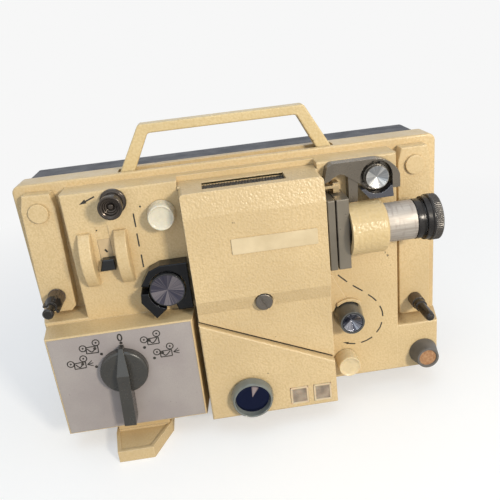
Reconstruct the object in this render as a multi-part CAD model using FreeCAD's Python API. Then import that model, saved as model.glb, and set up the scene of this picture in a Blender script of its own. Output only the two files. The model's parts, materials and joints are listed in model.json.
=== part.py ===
import FreeCAD, Part
import math
import os

# A portable sound film projector for small-gauge film. Units are millimetres.
# X runs to the right towards the screen, Y runs from the operator's side to the
# back, and Z runs up from the table. X = 0 is the middle of the body, and Y = 0
# is half way between the foremost knob and the back of the rear cover.

V = FreeCAD.Vector

# Clearances
running = 0.05          # radial, a shaft in its bearing
gap = 0.3               # between pieces that move past each other
fit = 0.15              # around a plate let into a recess
loose = 1.0             # radial, a shaft in a hole that doesn't guide it

# Body casting: the rim is the rearmost front face, the deck stands in front of it.
# The centres of knobs, rollers and the gate lie at shares of the body's half width.
body_width = 330.0
half_width = body_width / 2
body_height = 196.0
foot_height = 19.0
wall = 3.0
rim_depth = 23.0
rim_radius = 6.0
edge_radius = 1.5
arm_ledge = 39.7                # the rim left bare for the arms, each side of the deck
deck_rise = 24.0
deck_drop = 5.5
side_draft = 6.2        # how far the body's sides draw in from rim to deck

# Rear cover
rear_depth = 73.0
rear_inset = 4.0
rear_wall = 2.5
rear_top_radius = 28.0
rear_corner_radius = 20.0
rear_bottom_radius = 10.0
vent_count = 11
vent_pitch = 7.0
vent_width = 3.0
vent_length = 46.0
vent_x = 55.0
post_radius = 5.0
post_inset = 29.0               # from the body's side
post_low_rise = 22.0            # above the casting's underside
post_top_drop = 39.0

# Blocks in front of the rim, at the lower left and the lower right
left_block_space = 2.0          # below the end of the left arm
right_block_space = 2.5
control_box_drop = 108.0
control_box_depth = 23.0        # in front of the deck
control_box_gap = 1.5           # to the sound head cover
control_box_draft = 3.4         # how far its left side draws in
control_box_right_draft = 3.0
fascia_thickness = 1.0
fascia_border = 1.2

# Carrying handle, drawn down into a well in the top of the casting
handle_back = 4.0               # behind the rim face
handle_depth = 12.0
handle_rise = 33.7
handle_bar = 7.1
handle_foot_half = 82.3         # half width outside, at the casting's top
handle_top_half = 63.3          # half width outside, at the bar
handle_leg_foot = 11.6          # width of a leg at the casting's top
handle_leg_top = 10.3           # width of a leg under the bar
handle_tail = 7.0               # below the casting's top
handle_travel = 33.5
handle_radius = 3.5
well_wall = 1.5

# Lamp house cover, in front of the deck
cover_wall = 2.0
cover_space = 3.6               # between the framing knob and its left side
cover_draft = 2.0
cover_depth = 28.0
cover_round = 3.0
cover_top_depth = 24.0
cover_low_depth = 23.5
cover_top_drop = 10.0
cover_fold_drop = 27.0
cover_band_top_drop = 93.0
cover_band_low_drop = 105.0
cover_tongue = 13.7             # how far its top reaches back over the deck
cover_end_left_drop = 109.9     # its slanting lower end
cover_end_right_drop = 157.7
cover_vent_left_margin = 17.9
cover_vent_right_margin = 25.1
cover_vent_front = 16.0         # in front of the deck
cover_vent_back = 4.0           # behind the deck's face

# Coin screw that holds the lamp house cover
coin_screw_x = 0.0788 * half_width
coin_screw_drop = 99.5
coin_screw_radius = 6.6
coin_screw_head = 3.0
coin_screw_shank = 3.0
coin_boss_radius = 8.6
coin_boss_length = 9.5
coin_seat = 2.5                 # how deep the head is let in
coin_slot = 1.6
coin_slot_depth = 1.4
coin_slot_turn = -25            # degrees

# Blank plate on the front of the lamp house cover
plate_inset = 7.5               # from the cover's right side
plate_width = 63.0
plate_top_drop = 46.0
plate_height = 12.0
plate_proud = 0.8

# Sound head cover, below the lamp house cover
sound_inset = 1.0               # its left side from the lamp house cover's
sound_depth = 31.0              # at its lower edge
sound_top_depth = 27.0          # its front leans back towards the top
sound_overhang = 1.0            # below the casting
sound_slit = 1.7
window_width = 14.2
window_height = 15.0
window_rise = 10.5              # its centre above the casting's underside
window_inset = 12.7             # the right one's centre from the cover's right side
window_pitch = 18.8
window_proud = 0.6

# Optical axis, gate and lens
axis_drop = 53.8
axis_rise = 16.0                # in front of the deck
gate_left = 0.397 * half_width
gate_gap = 1.0                  # between the lamp house cover and the gate
gate_plate_thickness = 5.7
film_gap = 0.9
pressure_plate_thickness = 9.3
gate_height = 54.5
gate_depth = 26.0
gate_round = 0.8
aperture_width = 4.3
aperture_height = 5.8
carrier_radius = 19.4
carrier_length = 27.6
carrier_travel = 4.0
carrier_offset = 1.7            # its middle and the gate's lie below the lens
carrier_round = 3.0
rail_length = 20.0
rail_height = 9.0
barrel_radius = 14.8
barrel_wall = 2.8
barrel_start = 3.6              # behind the carrier's left end
barrel_show = 22.0              # bare barrel between carrier and ring
ring_length = 18.3
ring_radius = 17.5
ring_neck_radius = 15.3
ring_neck_length = 4.8
ring_groove = 2.0
ring_step_length = 4.0
ring_seat_radius = 13.0
glass_thickness = 5.0

# Film rollers and sprockets: place, then sizes
entry_roller_x = -0.5273 * half_width
entry_roller_drop = 14.3
entry_roller_radius = 9.7
entry_roller_front = 8.7
entry_roller_waist = 7.2
entry_roller_length = 18.5
entry_pin_radius = 2.5
loop_roller_x = 0.5 * half_width
loop_roller_drop = 0.6888 * body_height
loop_roller_radius = 12.1
loop_roller_front = 9.8
loop_roller_length = 16.0
upper_sprocket_x = 0.6485 * half_width
upper_sprocket_drop = 19.5
upper_flange_radius = 11.4
upper_face_radius = 8.7
upper_sprocket_length = 11.0
lower_sprocket_x = -0.3515 * half_width
lower_sprocket_drop = 84.5
lower_face_radius = 13.2
lower_sprocket_length = 15.0
drum_radius = 9.3
sprocket_teeth = 12
tooth_height = 1.1
tooth_width = 1.0
shaft_radius = 3.0
guard_depth = 9.0
lower_guard_depth = 12.0
lower_guard_left = 19.7         # from its sprocket's axis
lower_guard_shoulder = 12.3
lower_guard_shoulder_rise = 15.5
lower_guard_top = 19.0
lower_guard_low = 19.5
lower_guard_gap = 1.1           # to the lamp house cover
shoe_depth = 12.0
lower_shoe_depth = 18.0
sprocket_clearance = 1.0

# Reel arms, folded down in front of the rim
arm_inset = 19.3                # pivot from the body's side
right_arm_shift = 1.8           # the right pivot lies a little further in
arm_drop = 20.0                 # pivot from the body's top
arm_width = 26.0
arm_thickness = 10.5
arm_wall = 2.2
arm_head = 14.0
arm_tail = 14.0
arm_face_wall = 3.0
left_arm_reach = 69.5
right_arm_reach = 116.5
left_arm_lean = 2.0             # degrees
pivot_radius = 5.0
pivot_cap_radius = 7.5
pivot_cap_thickness = 2.2
adapter_radius = 6.35           # core of the reel adapter on the left spindle
left_spindle_length = 32.0
right_spindle_radius = 3.95
right_spindle_base = 5.6
right_spindle_base_length = 10.5
right_spindle_step = 4.9
right_spindle_step_end = 16.0   # from the arm to where its thin part starts
right_spindle_length = 37.0
spindle_shaft = 3.0

# Knobs on the front
selector_x = -0.6061 * half_width
selector_share = 0.6136         # its axis up the control box's height
selector_radius = 18.3
selector_disc = 6.5
selector_height = 13.7
selector_tip = 21.3
selector_tail = 43.5
selector_tip_width = 3.2
selector_tip_height = 6.4
selector_fold = 1.5             # where the bar starts to slope, above the axis
selector_lean = 3.0             # degrees, as it was left
selector_bar_width = 9.2
selector_shaft = 4.0
volume_x = -0.0303 * half_width
volume_rise = 17.1
volume_radius = 17.2
volume_front_radius = 15.5
volume_length = 7.5
framing_x = -0.3261 * half_width
framing_drop = 28.5
framing_radius = 10.7
framing_length = 12.0
inching_x = 0.4788 * half_width
inching_rise = 18.5
inching_radius = 9.4
inching_front_radius = 9.0
inching_length = 14.0
tilt_knob_inset = 18.5          # from the body's side
tilt_knob_rise = 14.5
tilt_knob_radius = 12.0
tilt_knob_front_radius = 9.2
tilt_knob_length = 12.0

# Format slider and the two crowned ribs beside it
slider_x = selector_x
slider_drop = 61.5
slider_width = 12.0
slider_height = 9.0
slider_rise = 6.5
slider_travel = 10.0
slider_recess_half = 5.0
slider_recess_low = 6.0         # below the slider's middle
slider_recess_top = 29.0
slider_recess_depth = 0.6
rib_width = 9.3
rib_gap = 8.6                   # from the slider's middle to each rib
rib_top_drop = 36.5
rib_length = 42.0
rib_crown = 12.5
rib_end = 3.0
rib_round = 1.2

# Feet
front_foot_thickness = 10.0
front_foot_reach = 42.0         # in front of the deck
front_foot_left = 19.5          # from the selector's axis
front_foot_right = 26.4
front_foot_side = 18.0          # in front of the deck, where its left side turns in
front_foot_heel = 13.0
front_foot_flare = 3.8
front_foot_toe = 28.0
front_foot_rim = 2.5
front_foot_tray = 1.5
rear_foot_inset = 30.0          # from the body's side
rear_foot_back = 76.0           # behind the rim face
rear_foot_radius = 9.0
foot_rubber_radius = 10.0
foot_rubber_height = 11.0
stem_width = 6.0
stem_depth = 8.0
stem_seat = 6.0                 # how deep it sits in the rubber
stem_back = 13.0                # its middle behind the rim face
tilt_travel = 35.0
rack_end = 0.5                  # rack left above the pinion's axis at full travel
pinion_radius = 3.5
pinion_teeth = 10
rack_tooth = 0.8

# Inside: chassis, drive and light
plate_back = 19.5               # front face of the chassis plate behind the rim
plate_thickness = 2.5
plate_clearance = 1.0
pillar_radius = 4.0
screw_radius = 1.6
screw_head_radius = 3.0
screw_head = 2.0
main_shaft_offset = 34.0        # behind the optical axis
main_shaft_drop = 58.0
shutter_radius = 38.0
shutter_thickness = 1.2
shutter_x = 50.0
main_pulley_radius = 14.0
motor_pulley_radius = 7.0
pulley_width = 8.0
drive_belt_x = -25.0
belt_thickness = 1.5
worm_radius = 5.0
worm_length = 16.0
worm_wheel_width = 8.0
worm_wheel_teeth = 36
mesh_gap = 0.2
bearing_thickness = 8.0
bearing_half_height = 8.0
left_bearing_x = -84.0
right_bearing_x = 28.0
motor_back = 66.0               # axis behind the rim face
motor_rise = 71.0               # axis above the casting's underside
motor_side = 44.0
motor_left = -14.0
motor_length = 44.0
rotor_radius = 12.0
rotor_gap = 0.4
end_bell = 4.0
motor_bracket = 4.0
motor_foot = 12.0
fan_left = 44.0
fan_length = 26.0
fan_radius = 24.0
fan_blades = 16
fan_blade = 1.2
fan_blade_depth = 7.0
timing_pulley_radius = 9.0
timing_back = 28.0              # front of the belt behind the rim face
timing_width = 6.0
flywheel_radius = 30.0
flywheel_back = 4.0
flywheel_width = 10.0
flywheel_hub = 9.0
flywheel_rim = 8.0
flywheel_dish = 3.0
lamp_x = -8.0
lamp_radius = 8.5
lamp_bulb_length = 33.0
lamp_base_radius = 6.5
lamp_base_length = 12.0
lens_radius = 8.0
condenser_x = 30.0
mirror_x = -25.0
opening_left_margin = 2.5       # in the deck, from the lamp house cover's sides
opening_right_margin = 6.5
opening_top_drop = 17.0
opening_low_drop = 94.0
transformer_inset = 46.0        # from the body's side
transformer_rise = 15.0
transformer_width = 48.0
transformer_height = 52.0
transformer_depth = 49.0
transformer_frame = 6.0         # how far its mounting plate stands out at each side
winding_margin = 7.0
winding_out = 5.0
board_back = 11.0               # behind the deck's wall
board_height = 42.0
board_thickness = 1.6
board_margin = 5.0
spacer_radius = 2.5
volume_control_radius = 8.0
capacitor_rise = 26.0
capacitors = ((16.0, 6.0, 18.0), (66.0, 7.0, 16.0), (34.0, 4.0, 12.0), (44.0, 4.0, 12.0))
heat_sink_place = 50.0
heat_sink_width = 8.0
heat_sink_height = 26.0
heat_sink_depth = 10.0
inlet_width = 28.0
inlet_height = 22.0
inlet_rise = 93.0
inlet_x = -0.6424 * half_width
inlet_depth = 26.0
inlet_wall = 3.0
inlet_floor = 6.0
inlet_flange = 2.0
inlet_pin_radius = 1.6
inlet_pin_pitch = 10.0
switch_radius = 18.0
switch_length = 19.0
switch_tag_radius = 14.0
switch_tag = 2.0
switch_tag_length = 5.0
selector_shaft_reach = 8.0      # into the switch
plate_screw_bite = 8.0
rear_screw_bite = 2.0
rear_screw_sink = 4.0
screw_slot = 0.8
head_foot_left = -8.0
head_foot_width = 22.0
head_width = 16.0
head_height = 12.0
head_front = 18.0               # in front of the deck
head_drop = 151.0
head_foot = 3.0
head_nose_radius = 4.0

# Derived levels
rear_y_depth = rim_depth + rear_depth
front_y_depth = deck_rise + front_foot_reach
rim_y = (front_y_depth - rear_y_depth) / 2
deck_y = rim_y - deck_rise
rim_back = rim_y + rim_depth
rear_y = rim_y + rear_y_depth
body_low = foot_height
body_top = foot_height + body_height
deck_half = half_width - arm_ledge
cover_left = framing_x + framing_radius + cover_space
cover_right = gate_left - gate_gap
cover_vent_left = cover_left + cover_vent_left_margin
cover_vent_right = cover_right - cover_vent_right_margin
plate_right = cover_right - plate_inset
plate_left = plate_right - plate_width
sound_left = cover_left + sound_inset
window_x = cover_right - window_inset - window_pitch
opening_left = cover_left + opening_left_margin
opening_right = cover_right - opening_right_margin
selector_rise = selector_share * (body_height - control_box_drop)
deck_top = body_top - deck_drop
axis_y = deck_y - axis_rise
axis_z = body_top - axis_drop
carrier_z = axis_z - carrier_offset
control_box_y = deck_y - control_box_depth
control_box_left = -half_width + side_draft + 0.8
control_box_right = sound_left - control_box_gap
left_block_drop = arm_drop + left_arm_reach + arm_tail + left_block_space
right_block_drop = arm_drop + right_arm_reach + arm_tail + right_block_space
gate_right = gate_left + gate_plate_thickness
pressure_left = gate_right + film_gap
carrier_left = pressure_left + pressure_plate_thickness
carrier_right = carrier_left + carrier_length
ring_left = carrier_right + barrel_show
ring_right = ring_left + ring_length
main_shaft_y = axis_y + main_shaft_offset
main_shaft_z = body_top - main_shaft_drop
plate_y = rim_y + plate_back
plate_rear = plate_y + plate_thickness
motor_y = rim_y + motor_back
motor_z = body_low + motor_rise
tilt_x = half_width - tilt_knob_inset
tilt_z = body_low + tilt_knob_rise
stem_x = tilt_x + pinion_radius + mesh_gap + stem_width / 2
pivot_x = half_width - arm_inset
right_pivot_x = pivot_x - right_arm_shift
arm_places = {-1: -pivot_x, 1: right_pivot_x}
handle_slope = (handle_foot_half - handle_top_half) / handle_rise
handle_under = handle_rise - handle_bar
handle_inner_foot_half = handle_foot_half - handle_leg_foot
handle_inner_top_half = handle_foot_half - handle_slope * handle_under - handle_leg_top
pivot_z = body_top - arm_drop
arm_front = rim_y - gap - arm_thickness
inlet_z = body_low + inlet_rise


def down(distance):
    """Height of a point so far below the casting's top."""
    return body_top - distance


def rise(distance):
    """Height of a point so far above the casting's underside."""
    return body_low + distance


def deck(distance):
    """Y of a plane so far in front of the deck."""
    return deck_y - distance


def block(x0, x1, y0, y1, z0, z1):
    """Box between two corners."""
    return Part.makeBox(x1 - x0, y1 - y0, z1 - z0, V(x0, y0, z0))


def rod_x(y, z, radius, x0, x1):
    """Round bar along X."""
    return Part.makeCylinder(radius, x1 - x0, V(x0, y, z), V(1, 0, 0))


def rod_y(x, z, radius, y0, y1):
    """Round bar along Y."""
    return Part.makeCylinder(radius, y1 - y0, V(x, y0, z), V(0, 1, 0))


def rod_z(x, y, radius, z0, z1):
    """Round bar along Z."""
    return Part.makeCylinder(radius, z1 - z0, V(x, y, z0), V(0, 0, 1))


def face_of(points):
    """Flat face inside a closed polygon."""
    return Part.Face(Part.makePolygon(points + [points[0]]))


def plate_xz(points, y0, y1):
    """Outline seen from the front, given a thickness along Y."""
    return face_of([V(x, y0, z) for x, z in points]).extrude(V(0, y1 - y0, 0))


def plate_xy(points, z0, z1):
    """Outline seen from above, given a height along Z."""
    return face_of([V(x, y, z0) for x, y in points]).extrude(V(0, 0, z1 - z0))


def plate_yz(points, x0, x1):
    """Outline seen from the side, given a width along X."""
    return face_of([V(x0, y, z) for y, z in points]).extrude(V(x1 - x0, 0, 0))


def turned_y(x, z, profile):
    """Solid of revolution about a line along Y. The profile lists (y, radius)."""
    points = [V(x + radius, y, z) for y, radius in profile]
    return face_of(points).revolve(V(x, 0, z), V(0, 1, 0), 360)


def turned_x(y, z, profile):
    """Solid of revolution about a line along X. The profile lists (x, radius)."""
    points = [V(x, y, z + radius) for x, radius in profile]
    return face_of(points).revolve(V(0, y, z), V(1, 0, 0), 360)


def joined(shapes):
    """One solid from several that touch or overlap."""
    whole = shapes[0].fuse(shapes[1:]) if len(shapes) > 1 else shapes[0]
    return whole.removeSplitter()


def rounded(shape, radius, chosen):
    """Fillet the edges for which chosen(box of the edge) holds."""
    edges = [edge for edge in shape.Edges if chosen(edge.BoundBox)]
    return shape.makeFillet(radius, edges)


def front_rounded(shape, y, radius):
    """Fillet every edge that lies in the plane at y."""
    return rounded(shape, radius, lambda b: abs(b.YMin - y) < 0.01 and abs(b.YMax - y) < 0.01)


def round_corners_y(shape, radius):
    """Fillet the edges that run along Y."""
    return rounded(shape, radius, lambda b: b.YLength > 0.1 and b.XLength < 0.01 and b.ZLength < 0.01)


def front_hole(x, z, radius, y0, y1):
    """Cutter for a round hole along Y that runs 1 mm past both faces."""
    return rod_y(x, z, radius, y0 - 1, y1 + 1)


def deck_hole(x, z, radius):
    """Cutter for a round hole through the deck's wall."""
    return front_hole(x, z, radius, deck_y, deck_y + wall)


def lens(x, thickness, radius, crown):
    """Convex glass on the optical axis: a disc whose two faces are bowed by crown."""
    bow = (radius ** 2 + crown ** 2) / (2 * crown)
    ball_left = Part.makeSphere(bow, V(x + bow - thickness / 2 - crown / 2, axis_y, axis_z))
    ball_right = Part.makeSphere(bow, V(x - bow + thickness / 2 + crown / 2, axis_y, axis_z))
    disc = rod_x(axis_y, axis_z, radius, x - thickness, x + thickness)
    return disc.common(ball_left).common(ball_right)


def belt_round(centres, radii, thickness):
    """Face of a belt round two or more pulleys, in the plane Z = 0.

    Each span is the outer tangent of two circles, with the pulleys taken counterclockwise.
    """
    def loop(extra):
        edges = []
        points = []
        count = len(centres)
        for i in range(count):
            ax, ay = centres[i]
            bx, by = centres[(i + 1) % count]
            ra = radii[i] + extra
            rb = radii[(i + 1) % count] + extra
            span = math.hypot(bx - ax, by - ay)
            heading = math.atan2(by - ay, bx - ax)
            side = heading - math.acos((ra - rb) / span)
            points.append((V(ax + ra * math.cos(side), ay + ra * math.sin(side), 0),
                           V(bx + rb * math.cos(side), by + rb * math.sin(side), 0), side))
        for i in range(count):
            start, end, side = points[i]
            edges.append(Part.LineSegment(start, end).toShape())
            following = points[(i + 1) % count]
            turn = (following[2] - side) % (2 * math.pi)
            middle = side + turn / 2
            cx, cy = centres[(i + 1) % count]
            r = radii[(i + 1) % count] + extra
            top = V(cx + r * math.cos(middle), cy + r * math.sin(middle), 0)
            edges.append(Part.Arc(end, top, following[0]).toShape())
        return Part.Face(Part.Wire(edges))
    return loop(gap + thickness).cut(loop(gap))


def casting_form(inset):
    """The casting's outer shape, or the space inside it when inset by the wall."""
    back = rim_back + (1.0 if inset else 0.0)
    low = body_low + inset
    overlap = 2.0
    rim_block = block(-half_width + inset, half_width - inset, rim_y + inset, back,
                      low, body_top - inset)
    deck_block = block(-deck_half + inset, deck_half - inset, deck_y + inset,
                       rim_y + inset + overlap, low, deck_top - inset)
    outer = half_width - inset
    drawn = half_width - side_draft - inset
    step = deck_half - inset - overlap
    left_block = plate_xy([(-outer, rim_y + inset + overlap), (-outer, rim_y), (-drawn, deck_y + inset),
                           (-step, deck_y + inset), (-step, rim_y + inset + overlap)],
                          low, down(left_block_drop) - inset)
    right_block = plate_xy([(outer, rim_y + inset + overlap), (outer, rim_y), (drawn, deck_y + inset),
                            (step, deck_y + inset), (step, rim_y + inset + overlap)],
                           low, down(right_block_drop) - inset)
    control_block = plate_xy([(control_box_left + inset, deck_y + inset + overlap),
                              (control_box_left + control_box_draft + inset, control_box_y + inset),
                              (control_box_right - control_box_right_draft - inset, control_box_y + inset),
                              (control_box_right - inset, deck_y + inset + overlap)],
                             low, down(control_box_drop) - inset)
    if inset == 0:
        rim_block = round_corners_y(rim_block, rim_radius)
        rim_block = front_rounded(rim_block, rim_y, edge_radius)
        deck_block = front_rounded(deck_block, deck_y, edge_radius)
        left_block = front_rounded(left_block, deck_y, edge_radius)
        right_block = front_rounded(right_block, deck_y, edge_radius)
        control_block = front_rounded(control_block, control_box_y, edge_radius)
    return joined([rim_block, deck_block, left_block, right_block, control_block])


def handle_well(extra):
    """The well that the handle is drawn into, or its outside when extra is its wall."""
    y0 = rim_y + handle_back - 0.4 - extra
    y1 = rim_y + handle_back + handle_depth + 0.4 + extra
    outer = handle_foot_half + handle_slope * handle_tail + 1.0 + extra
    inner = handle_inner_top_half - 1.0 - extra
    top = body_top - wall
    bar_floor = body_top + handle_rise - handle_bar - handle_travel - 1.5 - extra
    leg_floor = body_top - handle_tail - handle_travel - 2.0 - extra
    return joined([block(-outer, outer, y0, y1, bar_floor, top),
                   block(-outer, -inner, y0, y1, leg_floor, top),
                   block(inner, outer, y0, y1, leg_floor, top)])


pillar_places = [
    (-half_width + 11, body_top - 11, rim_y + wall),
    (half_width - 11, body_top - 11, rim_y + wall),
    (-half_width + 16, body_low + 12, control_box_y + wall),
    (deck_half + 3, body_low + 12, deck_y + wall),
    (-half_width + 11, body_top - 90, rim_y + wall),
    (half_width - 11, body_top - 90, rim_y + wall),
]
post_places = [(side * (half_width - post_inset), z) for side in (-1, 1)
               for z in (body_low + post_low_rise, body_top - post_top_drop)]
geared_shafts = [(upper_sprocket_x, down(upper_sprocket_drop)),
                 (lower_sprocket_x, down(lower_sprocket_drop)), (inching_x, rise(inching_rise)),
                 (loop_roller_x, down(loop_roller_drop)), (tilt_x, tilt_z)]
shoe_pivot_x = lower_sprocket_x - 17.6
shoe_pivot_z = down(lower_sprocket_drop) - 3.0
shoe_pin_radius = 1.5


def front_housing():
    """Hollow casting: rim, deck, control box, handle well, pillars and bearings."""
    body = casting_form(0).cut(casting_form(wall))
    pillars = [rod_y(x, z, pillar_radius, y - 0.5, plate_y) for x, z, y in pillar_places]
    guide = block(stem_x - stem_width / 2 - 2.5, stem_x + stem_width / 2 + 2.5,
                  rim_y + stem_back - stem_depth / 2 - 2.5, rim_y + stem_back + stem_depth / 2 + 2.5,
                  body_low + wall - 0.5, body_low + wall + 5)
    # A low fairing leads the film from the gate to the loop roller, round which a lip stands.
    fairing = plate_xz([(cover_right + 4, down(97)), (cover_right + 6.5, down(98)),
                        (cover_right + 17.5, down(121)), (cover_right + 17.5, down(130)),
                        (cover_right + 4, down(130))], deck(1.5), deck_y + 0.5)
    lip = rod_y(loop_roller_x, down(loop_roller_drop), loop_roller_radius + 3, deck(4), deck_y + 0.5)
    lip = lip.common(block(loop_roller_x - 9, loop_roller_x + 10, deck(5), deck_y + 1,
                           down(loop_roller_drop) + 8, down(loop_roller_drop) + 20))
    # A shelf closes the notch in the deck's top that takes the lamp house cover's tongue.
    shelf = block(cover_left - gap - wall, cover_right + gap + wall, deck_y + 1,
                  deck_y + cover_tongue + gap + wall, down(cover_top_drop + wall + 3), deck_top - 1)
    body = joined([body, handle_well(well_wall), guide, fairing, lip, shelf] + pillars)
    slot_half = handle_foot_half + wall * handle_slope + 2 * gap
    cuts = [
        rod_y(loop_roller_x, down(loop_roller_drop), loop_roller_radius + 0.8, deck(5), deck_y),
        handle_well(0),
        block(-slot_half, slot_half, rim_y + handle_back - 0.4, rim_y + handle_back + handle_depth + 0.4,
              body_top - wall - 1, body_top + 1),
        block(opening_left, opening_right, deck_y - 5, deck_y + wall + 1,
              down(opening_low_drop), down(opening_top_drop)),
        block(cover_left - gap, cover_right + gap, deck_y - 1, deck_y + cover_tongue + gap,
              down(cover_top_drop + 3), deck_top + 1),
        block(control_box_left + control_box_draft + fascia_border,
              control_box_right - control_box_right_draft - fascia_border,
              control_box_y - 1, control_box_y + fascia_thickness,
              body_low + fascia_border, down(control_box_drop) - fascia_border),
        block(stem_x - stem_width / 2 - gap, stem_x + stem_width / 2 + gap,
              rim_y + stem_back - stem_depth / 2 - gap, rim_y + stem_back + stem_depth / 2 + gap,
              body_low - 1, body_low + wall + 6),
        block(carrier_left + 2.6 - gap, carrier_left + 2.6 + rail_length + carrier_travel + gap,
              deck_y - 5, deck_y + wall + 1, axis_z - rail_height / 2 - gap, axis_z + rail_height / 2 + gap),
        block(slider_x - 2 - gap, slider_x + 2 + gap, deck_y - 1, deck_y + wall + 1,
              down(slider_drop) - 3 - gap, down(slider_drop) + 3 + slider_travel + gap),
        block(slider_x - slider_recess_half, slider_x + slider_recess_half,
              deck_y - 1, deck_y + slider_recess_depth,
              down(slider_drop) - slider_recess_low, down(slider_drop) + slider_recess_top),
        front_hole(selector_x, rise(selector_rise), selector_shaft + running, control_box_y,
                   control_box_y + wall),
        deck_hole(volume_x, rise(volume_rise), shaft_radius + loose),
        deck_hole(coin_screw_x, down(coin_screw_drop), coin_screw_shank + running),
        deck_hole(entry_roller_x, down(entry_roller_drop), entry_pin_radius + running),
        deck_hole(shoe_pivot_x, shoe_pivot_z, shoe_pin_radius + running),
        deck_hole(framing_x, down(framing_drop), shaft_radius + running),
    ]
    cuts += [deck_hole(x, z, shaft_radius + running) for x, z in geared_shafts]
    cuts += [front_hole(x, pivot_z, pivot_radius, rim_y, rim_y + wall) for x in arm_places.values()]
    for x, z, y in pillar_places:
        cuts.append(rod_y(x, z, screw_radius, plate_y - plate_screw_bite - 1, plate_y + 1))
    return body.cut(cuts)


def rear_form(inset):
    """The rear cover's outer shape, or the space inside it when inset by its wall."""
    start = plate_rear - (1.0 if inset else 0.0)
    low = body_low + rear_inset + inset
    top = body_top - rear_inset - inset
    back = rear_y - inset
    half = half_width - rear_inset - inset
    side = plate_yz([(start, low), (back, low), (back, top), (start, top)], -half, half)
    side = rounded(side, rear_top_radius - inset,
                   lambda b: b.XLength > 1 and abs(b.YMin - back) < 0.01 and abs(b.ZMin - top) < 0.01)
    side = rounded(side, rear_bottom_radius - inset,
                   lambda b: b.XLength > 1 and abs(b.YMin - back) < 0.01 and abs(b.ZMin - low) < 0.01)
    plan = plate_xy([(-half, start), (half, start), (half, back), (-half, back)], low - 1, top + 1)
    plan = rounded(plan, rear_corner_radius - inset,
                   lambda b: b.ZLength > 1 and abs(b.YMin - back) < 0.01)
    return side.common(plan)


def rear_cover():
    """Dark moulded rear half with screw posts, air slots and a hole for the mains inlet."""
    shell = rear_form(0).cut(rear_form(rear_wall))
    posts = [rod_y(x, z, post_radius, plate_rear, rear_y - rear_wall + 0.5) for x, z in post_places]
    shell = joined([shell] + posts)
    cuts = [block(inlet_x - inlet_width / 2 - fit, inlet_x + inlet_width / 2 + fit, rear_y - 2 * rear_wall,
                  rear_y + 1, inlet_z - inlet_height / 2 - fit, inlet_z + inlet_height / 2 + fit)]
    for x, z in post_places:
        cuts.append(rod_y(x, z, screw_radius + 0.5, plate_rear - 1, rear_y + 1))
        cuts.append(rod_y(x, z, screw_head_radius + 1, rear_y - rear_screw_sink, rear_y + 1))
    for i in range(vent_count):
        x = (i - (vent_count - 1) / 2) * vent_pitch
        for z in (motor_z - vent_length / 2, down(74)):
            cuts.append(block(x + vent_x - vent_width / 2, x + vent_x + vent_width / 2, rear_y - 5,
                              rear_y + 1, z, z + vent_length))
    return shell.cut(cuts)


def chassis_plate():
    """Aluminium plate behind the works, with two arms that carry the main shaft."""
    edge = wall + plate_clearance
    plate = block(-half_width + edge, half_width - edge, plate_y, plate_rear,
                  body_low + edge, body_top - edge)
    plate = round_corners_y(plate, rim_radius)
    solids = [plate]
    for x in (left_bearing_x, right_bearing_x):
        solids.append(block(x, x + bearing_thickness, main_shaft_y - bearing_half_height, plate_y + 0.5,
                            main_shaft_z - bearing_half_height, main_shaft_z + bearing_half_height))
    cuts = [rod_x(main_shaft_y, main_shaft_z, shaft_radius + running, left_bearing_x - 1,
                  right_bearing_x + bearing_thickness + 1),
            block(drive_belt_x - 12, drive_belt_x + 12, plate_y - 1, plate_rear + 1,
                  motor_z + 5, main_shaft_z + 18),
            block(shutter_x - 4, shutter_x + 6, plate_y - 1, plate_rear + 1,
                  main_shaft_z - shutter_radius + 5, main_shaft_z + shutter_radius - 5)]
    cuts += [front_hole(x, z, shaft_radius + running, plate_y, plate_rear) for x, z in geared_shafts]
    cuts += [front_hole(x, z, screw_radius, plate_y, plate_rear) for x, z, y in pillar_places]
    cuts += [front_hole(x, z, screw_radius, plate_y, plate_rear) for x, z in post_places]
    return joined(solids).cut(cuts)


def screw(x, z, tip, seat):
    """Slotted screw along Y: shank from tip to seat, head behind the seat."""
    shank = rod_y(x, z, screw_radius, tip, seat)
    head = rod_y(x, z, screw_head_radius, seat, seat + screw_head)
    slot = block(x - screw_head_radius, x + screw_head_radius, seat + screw_head - screw_slot,
                 seat + screw_head + 1, z - screw_slot / 2, z + screw_slot / 2)
    return joined([shank, head]).cut(slot)


def plate_screws():
    """Six short screws that hold the chassis plate to the casting."""
    return Part.makeCompound([screw(x, z, plate_y - plate_screw_bite, plate_rear)
                              for x, z, y in pillar_places])


def rear_screws():
    """Four long screws that hold the rear cover to the chassis plate."""
    return Part.makeCompound([screw(x, z, plate_y - rear_screw_bite, rear_y - rear_screw_sink)
                              for x, z in post_places])


def carry_handle():
    """Trapezoid carrying handle whose two slanting legs enter the well."""
    inner_slope = (handle_inner_foot_half - handle_inner_top_half) / handle_under
    outer_foot = handle_foot_half + handle_slope * handle_tail
    inner_foot = handle_inner_foot_half + inner_slope * handle_tail
    low = body_top - handle_tail
    under = body_top + handle_under
    top = body_top + handle_rise
    outline = [(-outer_foot, low), (-handle_top_half, top), (handle_top_half, top), (outer_foot, low),
               (inner_foot, low), (handle_inner_top_half, under), (-handle_inner_top_half, under),
               (-inner_foot, low)]
    y0 = rim_y + handle_back
    y1 = y0 + handle_depth
    bow = plate_xz(outline, y0, y1)
    bow = rounded(bow, handle_radius,
                  lambda b: b.YLength > 1 and (abs(b.ZMin - top) < 0.01 or abs(b.ZMin - under) < 0.01))
    return rounded(bow, 1.2, lambda b: b.YLength < 0.01 and b.ZMax > low + 0.01)


def cover_end_z(x):
    """Height of the lamp house cover's slanting lower end."""
    share = (x - cover_left) / (cover_right - cover_left)
    return down(cover_end_left_drop + share * (cover_end_right_drop - cover_end_left_drop))


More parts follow.
